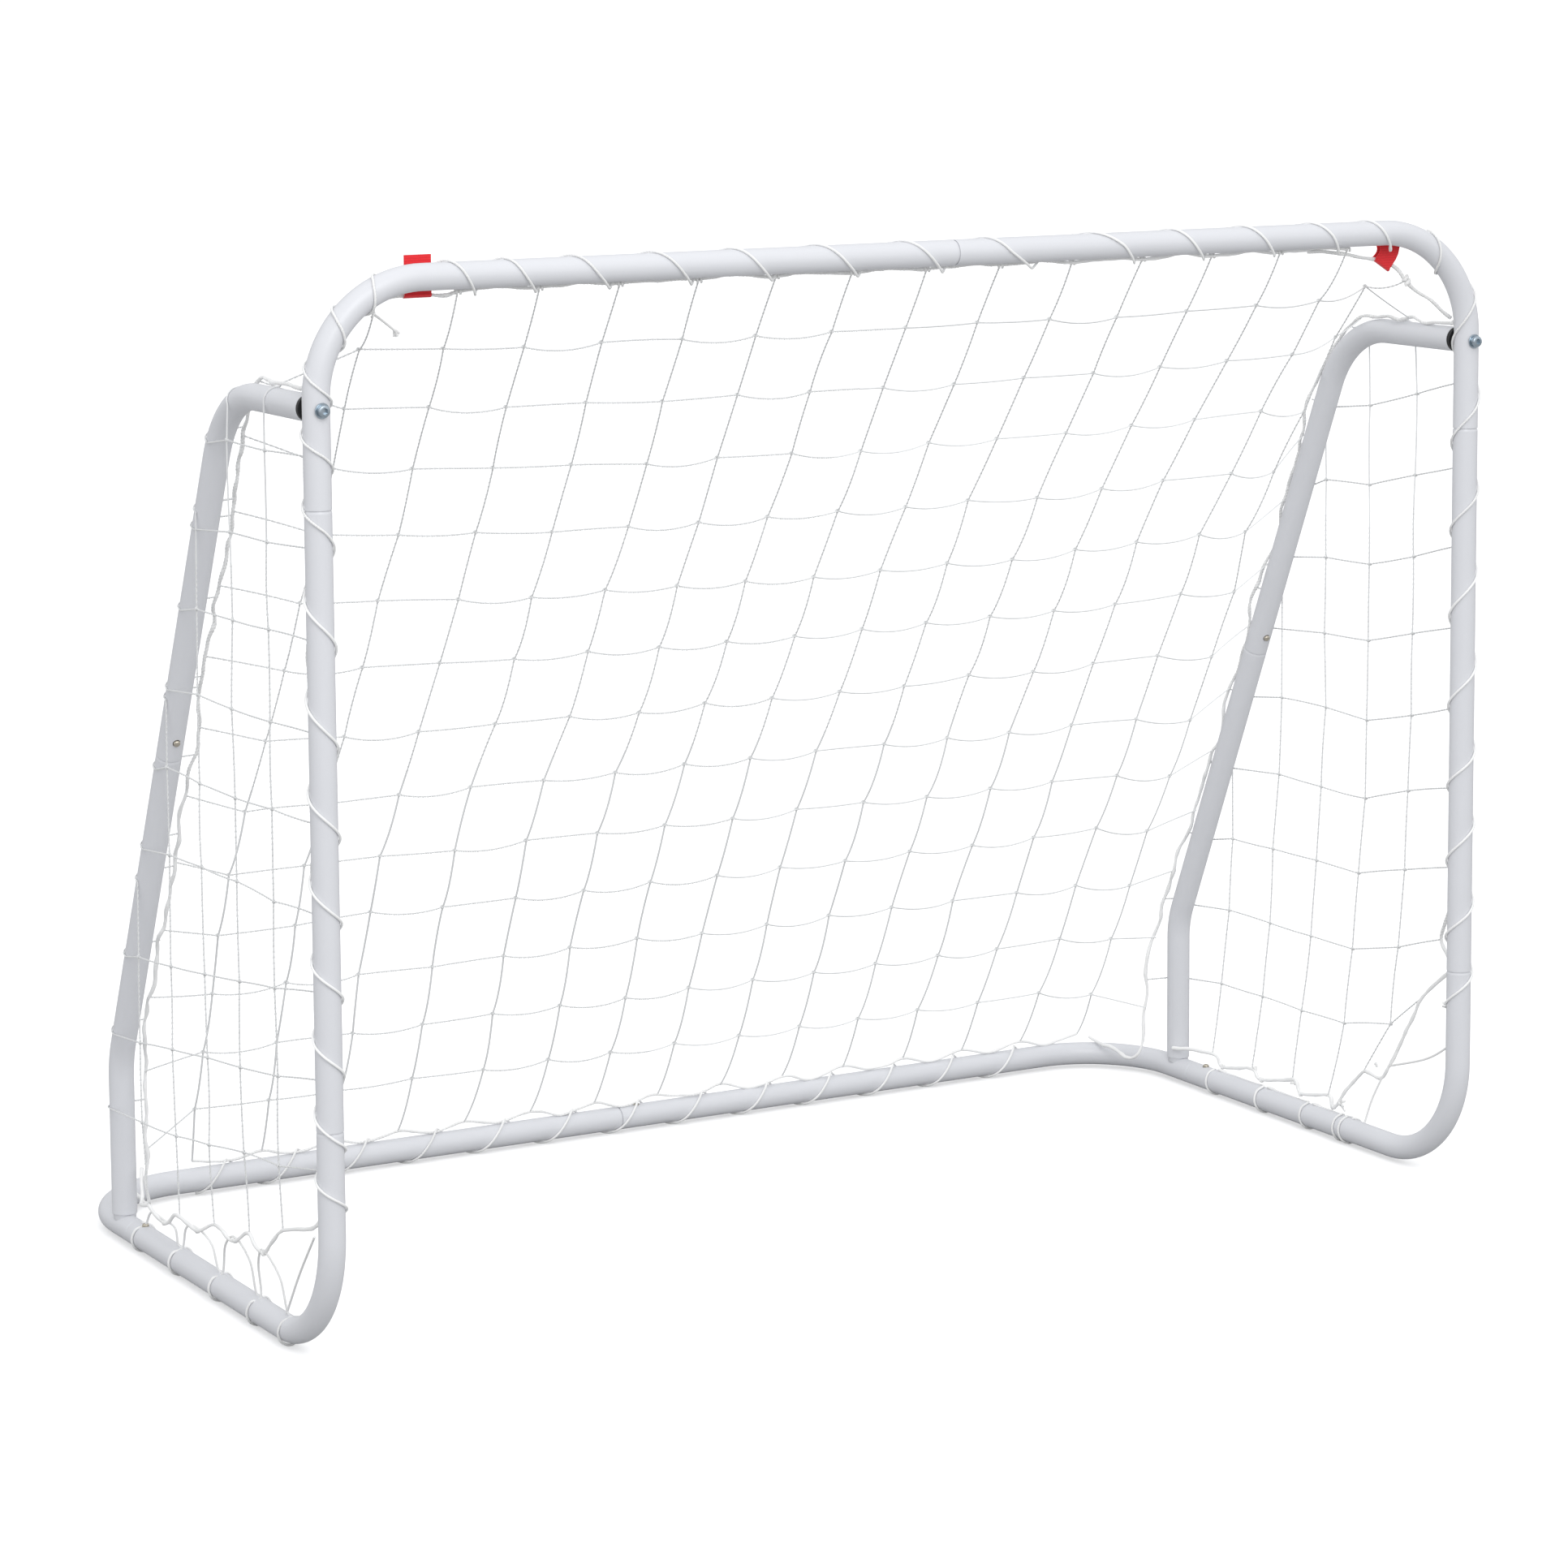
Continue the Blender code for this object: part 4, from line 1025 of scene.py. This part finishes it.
def add_side_nets():
    radius = bpy.context.scene.goal_sizes.twine
    for side, sign in SIDES:
        line = STRUT_LINES[side]
        hem = hem_points(side, sign)
        feet = [hem[at] for at in HEM_PEAKS[side]]
        rows, columns, loops = {}, {column: [feet[column - 1]] for column in range(1, 6)}, []
        for row in range(9):
            row_points = [side_knot(side, sign, 0, row)]
            if side == "right" and row < 2:
                row_points = [(hem[2], Vector((NET_X, POST_Y + 0.060, 0.296)))[row]]
            for column in range(1, 6):
                knot = side_knot(side, sign, column, row)
                crossing = line.first(lambda p, z=knot.z: p.z <= z)
                above_hem = knot.z > feet[column - 1].z + 0.035
                if knot.y > line.at(crossing)[0].y - 0.022 or not above_hem:
                    continue
                row_points.append(knot)
                columns[column].append(knot)
                loops.append(knot_loop(knot, Y_AXIS + Z_AXIS * 0.5, Z_AXIS, radius * 0.72))
            last = row_points[-1]
            crossing = line.first(lambda p, z=last.z: p.z <= z - 0.006)
            rows[row] = joined(row_points, 0.0, 80 + row) + past_strut(side, sign, crossing)
        uprights = []
        for column, points in columns.items():
            last = points[-1]
            crossing = line.first(lambda p, y=last.y: p.y >= y + 0.002)
            uprights.append(joined(points, 0.0, 120 + column) + past_strut(side, sign, crossing))
        twine_piece(f"side_net_{side}", list(rows.values()) + uprights, loops, f"net_{side}")


# ---- Lacing and ropes ----
CROSSBAR_WRAPS = (
    -0.589, -0.521, -0.435, -0.333, -0.234, -0.124, -0.012, 0.097, 0.252, 0.348, 0.450, 0.548, 0.625,
)  # where the cord crosses the front of the crossbar
POST_WRAPS = {
    "left": (0.700, 0.752, 0.821, 0.890, 0.970, 1.077, 1.187, 1.284, 1.380, 1.462, 1.546, 1.630, 1.696),
    "right": (0.712, 0.800, 0.927, 1.038, 1.140, 1.254, 1.359, 1.449, 1.549, 1.636),
}  # the same for the posts, from the middle of the crossbar and round the bend
SIDE_WRAPS = {"left": (0.112, 0.200, 0.310, 0.430, 0.545), "right": (0.215, 0.228, 0.300, 0.400, 0.512)}
REAR_PITCH = 0.0965


def add_crossbar_lacing(cord):
    axis = Line([Vector((-1.0, POST_Y, CROSSBAR_Z)), Vector((1.0, POST_Y, CROSSBAR_Z))])
    crossings = [x + 1.0 for x in CROSSBAR_WRAPS]
    first, last = crossings[0] - 0.030, crossings[-1] + 0.030
    points = round_tube(axis, crossings, first, last, -Y_AXIS, 1, cord_reach(cord), Z_AXIS * -0.005)
    tail = [points[0] + Vector(off) for off in ((0, 0, 0), (-0.012, 0.006, -0.008), (-0.022, 0.004, -0.020))]
    runs = [points, flowing(tail)]
    runs += [knot_loop(p, X_AXIS, Z_AXIS, cord * 0.8) for p in net_edges()[0][1:-1]]
    lay_cord("crossbar_cord", runs, cord, "lacing_crossbar")


def add_post_lacing(cord):
    for side, sign in SIDES:
        x = sign * HALF_WIDTH
        corners = [(0, POST_Y, CROSSBAR_Z), (x, POST_Y, CROSSBAR_Z), (x, POST_Y, 0.120)]
        axis = Line(rounded_path(corners, [TOP_BEND_R], radians(3)))
        crossings = POST_WRAPS[side]
        first, last = crossings[0] - 0.020, crossings[-1] + 0.030
        points = round_tube(axis, crossings, first, last, -Y_AXIS, sign, cord_reach(cord))
        runs = [points]
        if side == "left":
            tie = Vector((-0.690, POST_Y + 0.010, CROSSBAR_Z - 0.036))
            tail = [tie, tie + Vector((0.018, 0.012, -0.010)), tie + Vector((0.036, 0.020, -0.022))]
            runs += [flowing(tail), knot_loop(tie, Vector((1, 0, -1)), Z_AXIS, cord)]
            runs += frayed_end(tail[-1], tail[-1] - tail[-2], 0.007, 3)
        runs.append(knot_loop(points[-1], Z_AXIS, X_AXIS, cord * 0.8))
        lay_cord(f"post_cord_{side}", runs, cord, f"lacing_post_{side}")


def ring_round(centre, reach, turn, drift):
    """Points of a cord once round a side tube, from its top, drifting along the tube."""
    points = []
    for at in range(0, 17, 2):
        part = at / 16
        angle = pi / 2 + turn * part
        points.append(centre + Vector((cos(angle) * reach, drift * part, sin(angle) * reach)))
    return points


def laced_side(side, sign, wraps, hem, reach):
    """The cord's way along a side tube: a ring at each wrap, and the legs between them."""
    route = []
    for at, (centre, after) in enumerate(zip(wraps, wraps[1:] + [None])):
        route += ring_round(centre, reach, -sign * 2 * pi, 0.012)
        if after is None:
            return route
        if side == "left":  # up through the hem and down again
            caught = hem[HEM_TROUGHS[side][at]]
            landing = after + Vector((0, -0.004, reach + 0.002))
            route.append(route[-1].lerp(caught, 0.5) + Vector((0, -0.012, 0.010)))
            route.append(caught + Z_AXIS * 0.0035)
            route.append(caught.lerp(landing, 0.5) + Vector((0, 0.012, 0.010)))
        elif after.y - centre.y > 0.03:  # low along the outside of the tube
            out = sign * (HALF_WIDTH + TUBE_R + 0.0035)
            route.append(Vector((out, (centre.y + after.y) / 2, BASE_Z + 0.008)))


def bowed(start, end):
    """A leg that bows back a little between its ends."""
    return flowing([start, start.lerp(end, 0.5) + Y_AXIS * 0.003, end])


def add_side_lacing(cord):
    reach = cord_reach(cord)
    for side, sign in SIDES:
        x = sign * HALF_WIDTH
        hem = hem_points(side, sign)
        wraps = [Vector((x, POST_Y + depth, BASE_Z)) for depth in SIDE_WRAPS[side]]
        runs = [flowing(laced_side(side, sign, wraps, hem, reach), 6)]
        if side == "left":
            runs.append(bowed(wraps[0] + Vector((0, 0.016, reach)), hem[0] + Vector((0, 0.004, -0.006))))
        else:
            post_end = Vector((x + 0.004, POST_Y + 0.012, 0.176))
            rope_at = hem[4] + Vector((0, -0.012, 0.016))
            runs.append(flowing([post_end, post_end.lerp(rope_at, 0.4) + Z_AXIS * -0.008, rope_at]))
            runs.append(bowed(hem[4], Vector((x, POST_Y + 0.190, BASE_Z + reach))))
            runs += frayed_end(hem[6] + Vector((0, -0.010, 0.006)), Vector((0, -1, 0.2)), 0.012, 5)
            for at in (8, 10, 4):
                runs += frayed_end(hem[at] + Vector((0, 0.012, 0.010)), Vector((0, 0.6, 1)), 0.008, at)[:3]
        runs += [knot_loop(hem[at], Y_AXIS, Z_AXIS, cord * 0.8) for at in HEM_TROUGHS[side]]
        lay_cord(f"side_cord_{side}", runs, cord, f"lacing_side_{side}")


def add_rear_lacing(cord):
    axis = Line([Vector((-1.0, REAR_Y, BASE_Z)), Vector((1.0, REAR_Y, BASE_Z))])
    crossings = [1.0 - 0.591 + REAR_PITCH * at for at in range(14)]
    crossings = [c + 0.006 * noise.noise(Vector((c * 9, 1.0, 0.0))) for c in crossings]
    first, last = crossings[0] - 0.02, crossings[-1] - 0.04
    slack = Vector((0, -0.001, 0.004))
    points = round_tube(axis, crossings, first, last, -Y_AXIS, -1, cord_reach(cord), slack)
    lay_cord("rear_cord", [points], cord, "lacing_rear")


def add_lacing():
    cord = bpy.context.scene.goal_sizes.cord
    for add in (add_crossbar_lacing, add_post_lacing, add_side_lacing, add_rear_lacing):
        add(cord)


BEHIND = POST_Y + TUBE_R + 0.0035  # where a rope lies behind the posts and crossbar
UNDER = CROSSBAR_Z - TUBE_R - 0.0015  # and under the crossbar


def below_crossbar(*places):
    """Points from (x, back from BEHIND, up from UNDER)."""
    return [Vector((x, BEHIND + back, UNDER + up)) for x, back, up in places]


def rope_down_post(side, sign):
    """The edge rope down the back of a post, and on along the side net's hem."""
    hem = hem_points(side, sign)
    down = []
    for z in [1.06 - 0.045 * step for step in range(18)]:
        z += 0.006 * noise.noise(Vector((z * 20, sign, 0)))
        x = sign * (HALF_WIDTH + 0.004) + 0.004 * noise.noise(Vector((z * 31, sign, 4)))
        down.append(Vector((x, BEHIND, z)))
    if side == "left":
        down = [p for p in down if p.z > hem[0].z + 0.03]
        return flowing(down + [hem[0] + Vector((0.010, 0.006, 0.012))] + hem[1:], 6)
    down = [p for p in down if p.z > 0.36]
    down += [Vector((NET_X, POST_Y + d, z)) for d, z in ((0.040, 0.335), (0.060, 0.296), (0.036, 0.266))]
    return flowing(down + hem[1:], 6)


def add_front_rope(rope, tops):
    top_run = []
    for a, b in zip(tops[1:], tops[2:-1]):
        top_run += [a, a.lerp(b, 0.5) + Vector((0, 0.004, 0.003))]
    top_run.append(tops[-2])
    left_end = below_crossbar(
        (-0.700, 0.004, -0.022), (-0.672, 0, -0.007), (-0.640, 0, -0.003), (-0.606, -0.002, -0.004)
    )
    right_end = below_crossbar((0.532, -0.0065, -0.003), (0.585, -0.0025, -0.008), (0.632, 0.002, -0.016))
    right_end += below_crossbar((0.668, 0.004, -0.026)) + [ROPE_KNOT]
    right_end += below_crossbar((0.718, 0.002, -0.069), (0.750, 0, -0.092))
    runs = [flowing(top_run, 4), flowing(left_end + [tops[1]], 6), flowing(right_end, 8)]
    runs += [rope_down_post(side, sign) for side, sign in SIDES]
    runs = [wandering(run, 0.0035, 0.035, 2 + at) for at, run in enumerate(runs)]
    runs += frayed_end(left_end[0], left_end[0] - left_end[1], 0.009, 21)
    runs += [knot_loop(ROPE_KNOT, Vector((1, 0, -2)), X_AXIS, rope * 0.7)]
    lay_rope("front_edge_rope", runs, rope, 0.35, "edge_rope_front")


def add_rear_rope(rope, bottoms):
    """The rope along the rear bar, which dips between the net's bottom knots."""
    run = []
    for a, b in zip(bottoms, bottoms[1:]):
        run += [a, a.lerp(b, 0.48) + Vector((0, 0.001, -0.0085))]
    run = wandering(flowing(run + [bottoms[-1]], 6), 0.003, 0.03, 31)
    lay_rope("rear_edge_rope", [run], rope * 0.8, 0.3, "edge_rope_rear")


def add_seam_rope(rope, side, sign):
    length = STRUT_LINES[side].length
    run = [seam_point(side, sign, length * at / 30) for at in range(31)]
    foot = Vector((sign * 0.706, REAR_Y - 0.012, BASE_Z + TUBE_R + 0.006))
    run = flowing(run + [run[-1].lerp(foot, 0.6) - Z_AXIS * 0.004, foot], 5)
    run = wandering(run, 0.006, 0.030, 40 + sign)
    runs = [run] + frayed_end(run[0], Vector((0, -1, 0.4)), 0.006, 60 + sign)
    lay_rope(f"seam_rope_twist_{side}", runs, rope, 0.4, f"seam_rope_{side}")


def add_ropes():
    rope = bpy.context.scene.goal_sizes.rope
    tops, bottoms, _ = net_edges()
    add_front_rope(rope, tops)
    add_rear_rope(rope, bottoms)
    for side, sign in SIDES:
        add_seam_rope(rope, side, sign)


# ---- Tapes ----
def add_tape(side, line, width, gather=0.0):
    """A tape along the line. gather pulls its lower end in and askew, where the rope tugs it."""
    strip = bmesh.new()
    offsets = [width / 2 * (at / 5 - 1) for at in range(11)]
    across = [strip.verts.new(line[0] + X_AXIS * offset) for offset in offsets]
    edges = [strip.edges.new(pair) for pair in zip(across, across[1:])]
    for a, b in zip(line, line[1:]):
        made = bmesh.ops.extrude_edge_only(strip, edges=edges)["geom"]
        verts = [item for item in made if isinstance(item, bmesh.types.BMVert)]
        edges = [item for item in made if isinstance(item, bmesh.types.BMEdge)]
        edges = [edge for edge in edges if all(vert in verts for vert in edge.verts)]
        bmesh.ops.translate(strip, verts=verts, vec=b - a)
    middle, top = line[0].x, CROSSBAR_Z - TUBE_R
    for vert in strip.verts:
        part = gather * min(1.0, max(0.0, (top - vert.co.z) / 0.026))
        off = vert.co.x - middle
        vert.co.x -= part * (0.0095 + 0.30 * off) - 0.004 * gather * sin(pi * part)
        vert.co.z += part * (0.004 - 0.45 * off)
    piece = object_from(f"red_tape_{side}", strip, 60)
    thick = piece.modifiers.new("tape", "SOLIDIFY")
    thick.thickness, thick.offset = 0.0012, 0.0
    edge = piece.modifiers.new("soft edges", "BEVEL")
    edge.width, edge.segments, edge.limit_method = 0.0003, 2, "ANGLE"
    settle(piece)
    hand_over(piece, "hook_and_loop", f"strap_{side}")


def add_straps():
    """The left tape stands up behind the crossbar. The right one hangs lower, pulled askew."""
    width = bpy.context.scene.goal_sizes.tape
    back, rope_y = POST_Y + TUBE_R + 0.0012, POST_Y + TUBE_R + 0.0040
    fold_r = 0.0036
    for side, x, top, reach, fold_z, rise, width_part, gather in (
        ("left", -0.632, 0.0230, 8, -0.0195, 0.004, 1.0, 0.0),
        ("right", 0.655, -0.0020, 7, -0.0415, 0.006, 0.95, 1.0),
    ):
        nudge = 0.001 * gather
        line = [(back, top - 0.006 * step) for step in range(reach)]
        for angle in (radians(step) for step in range(0, 181, 20)):
            line.append((rope_y - fold_r * cos(angle) + nudge, fold_z - fold_r * sin(angle)))
        line += [(rope_y + fold_r, fold_z + rise * step) for step in range(1, 5)]
        points = [Vector((x, y, CROSSBAR_Z + z)) for y, z in line]
        add_tape(side, points, width * width_part, gather)


# ---- Parts that stay as the model has them ----
def finish_hidden_parts():
    """Leaf springs and captive nuts sit inside tubes, and keep their own meshes."""
    for name, node in frame["nodes"].items():
        slot = {"spring_clip": "spring_steel", "captive_nut": "zinc_steel"}.get(name[:11])
        if slot:
            node.data.materials.clear()
            node.data.materials.append(finish_of(slot))


# ---- Stage ----
FLOOR_WHITE = 0.86
FLOOR_GLOW = 0.40  # lifts what the eye sees of the floor to pure white
FLOOR_BOUNCE = 0.46  # the part of its light that the floor throws back at the goal
KEY_AT, KEY_TARGET = Vector((-1.0, -3.4, 2.9)), Vector((0, 0, 0.7))
KEY_SIZE, KEY_WATTS = 2.0, 38
CAMERA_AT = Vector((-2.74486, POST_Y - 4.51235, 1.54440))
CAMERA_YAW, CAMERA_PITCH, CAMERA_ROLL = 0.51458, -0.12736, -0.00671
CAMERA_LENS, CAMERA_SHIFT_Y = 107.19, -0.16


def add_key_light():
    """One broad soft lamp, high at the front left."""
    data = bpy.data.lights.new("key", "AREA")
    data.shape, data.size, data.energy = "SQUARE", KEY_SIZE, KEY_WATTS
    lamp = link_piece("key", data)
    lamp.location = KEY_AT
    lamp.rotation_euler = (KEY_TARGET - KEY_AT).to_track_quat("-Z", "Y").to_euler()


def add_camera():
    level = Vector((sin(CAMERA_YAW), cos(CAMERA_YAW), 0))
    look = level * cos(CAMERA_PITCH) + Z_AXIS * sin(CAMERA_PITCH)
    right = level.cross(Z_AXIS)
    up = right.cross(look)
    rolled_right = right * cos(CAMERA_ROLL) + up * sin(CAMERA_ROLL)
    rolled_up = up * cos(CAMERA_ROLL) - right * sin(CAMERA_ROLL)
    data = bpy.data.cameras.new("studio_camera")
    data.lens, data.shift_y, data.sensor_width = CAMERA_LENS, CAMERA_SHIFT_Y, 36
    data.clip_end = 100
    camera = link_piece("studio_camera", data)
    turn = Matrix((rolled_right, rolled_up, -look)).transposed().to_4x4()
    camera.matrix_world = Matrix.Translation(CAMERA_AT) @ turn
    bpy.context.scene.camera = camera


def add_world():
    """White to the eye, and a softer, slightly uneven sky as light."""
    world = bpy.data.worlds.new("studio")
    world.use_nodes = True
    bpy.context.scene.world = world
    tree = world.node_tree
    tree.nodes.clear()
    seen = add_node(tree, "Background", {"Color": (1, 1, 1, 1), "Strength": 1.05})
    way = add_node(tree, "TexCoord").outputs["Generated"]
    toward_front = add_node(tree, "VectorMath", {0: way, 1: (-0.34, -0.80, 0.22)}, operation="DOT_PRODUCT")
    span = {"From Min": -0.8, "From Max": 0.8, "To Min": 0.66, "To Max": 1.16}
    glow = add_node(tree, "MapRange", {"Value": toward_front.outputs["Value"], **span}).outputs["Result"]
    lighting = add_node(tree, "Background", {"Color": (0.975, 0.985, 1, 1), "Strength": glow})
    is_seen = add_node(tree, "LightPath").outputs["Is Camera Ray"]
    mixed = add_node(tree, "MixShader", {0: is_seen, 1: lighting.outputs[0], 2: seen.outputs[0]})
    add_node(tree, "OutputWorld", {"Surface": mixed.outputs[0]}, is_active_output=True)


def add_stage():
    sheet = bmesh.new()
    bmesh.ops.create_grid(sheet, x_segments=8, y_segments=8, size=30.0)
    ground = object_from("studio_floor", sheet)
    ground.data.materials.append(studio_floor())
    add_world()
    add_key_light()
    add_camera()
    bpy.context.scene.view_settings.view_transform = "Standard"


# ---- Operators, panel and registration ----
class AddTubes(bpy.types.Operator):
    """Add the twelve powder coated tubes of the frame"""

    bl_idname = "goal.add_tubes"
    bl_label = "Tubes"

    def execute(self, context):
        add_tubes()
        return {"FINISHED"}


class AddSnapButtons(bpy.types.Operator):
    """Add the ten sprung snap buttons"""

    bl_idname = "goal.add_snap_buttons"
    bl_label = "Snap Buttons"

    def execute(self, context):
        add_snap_buttons()
        return {"FINISHED"}


class AddPivots(bpy.types.Operator):
    """Add the strut pivots: bolts, washers and end plugs"""

    bl_idname = "goal.add_pivots"
    bl_label = "Strut Pivots"

    def execute(self, context):
        add_pivots()
        return {"FINISHED"}


class AddNets(bpy.types.Operator):
    """Add the knotted back net and side nets"""

    bl_idname = "goal.add_nets"
    bl_label = "Nets"

    def execute(self, context):
        add_back_net()
        add_side_nets()
        return {"FINISHED"}


class AddLacing(bpy.types.Operator):
    """Add the cords that lace the net to the tubes"""

    bl_idname = "goal.add_lacing"
    bl_label = "Lacing"

    def execute(self, context):
        add_lacing()
        return {"FINISHED"}


class AddRopes(bpy.types.Operator):
    """Add the ropes in the net's edges and seams"""

    bl_idname = "goal.add_ropes"
    bl_label = "Ropes"

    def execute(self, context):
        add_ropes()
        return {"FINISHED"}


class AddStraps(bpy.types.Operator):
    """Add the red hook and loop tapes"""

    bl_idname = "goal.add_straps"
    bl_label = "Tapes"

    def execute(self, context):
        add_straps()
        return {"FINISHED"}


class FinishHiddenParts(bpy.types.Operator):
    """Give the springs and nuts inside the tubes their materials"""

    bl_idname = "goal.finish_hidden_parts"
    bl_label = "Hidden Parts"

    def execute(self, context):
        finish_hidden_parts()
        return {"FINISHED"}


class AddStage(bpy.types.Operator):
    """Add the floor, lights and camera"""

    bl_idname = "goal.add_stage"
    bl_label = "Stage"

    def execute(self, context):
        add_stage()
        return {"FINISHED"}


STEPS = (
    AddTubes, AddSnapButtons, AddPivots, AddNets, AddLacing, AddRopes, AddStraps, FinishHiddenParts, AddStage,
)


class GoalPanel(bpy.types.Panel):
    """Lists the goal's pieces and settings"""

    bl_idname = "VIEW3D_PT_goal"
    bl_label = "Football Goal"
    bl_space_type = "VIEW_3D"
    bl_region_type = "UI"
    bl_category = "Goal"

    def draw(self, context):
        for group in (context.scene.goal_sizes, context.scene.goal_colours):
            box = self.layout.box()
            for key in group.__annotations__:
                box.prop(group, key)
        for step in STEPS:
            self.layout.operator(step.bl_idname)


def register():
    for kind in (GoalSizes, GoalColours, *STEPS, GoalPanel):
        bpy.utils.register_class(kind)
    bpy.types.Scene.goal_sizes = PointerProperty(type=GoalSizes)
    bpy.types.Scene.goal_colours = PointerProperty(type=GoalColours)


def unregister():
    del bpy.types.Scene.goal_colours
    del bpy.types.Scene.goal_sizes
    for kind in reversed((GoalSizes, GoalColours, *STEPS, GoalPanel)):
        bpy.utils.unregister_class(kind)


def main():
    for item in [o for o in bpy.data.objects if "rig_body" not in o and o.type != "EMPTY"]:
        bpy.data.objects.remove(item)  # the start-up scene's own
    register()
    for step in STEPS:
        group, name = step.bl_idname.split(".")
        getattr(getattr(bpy.ops, group), name)()


if __name__ == "__main__":
    main()
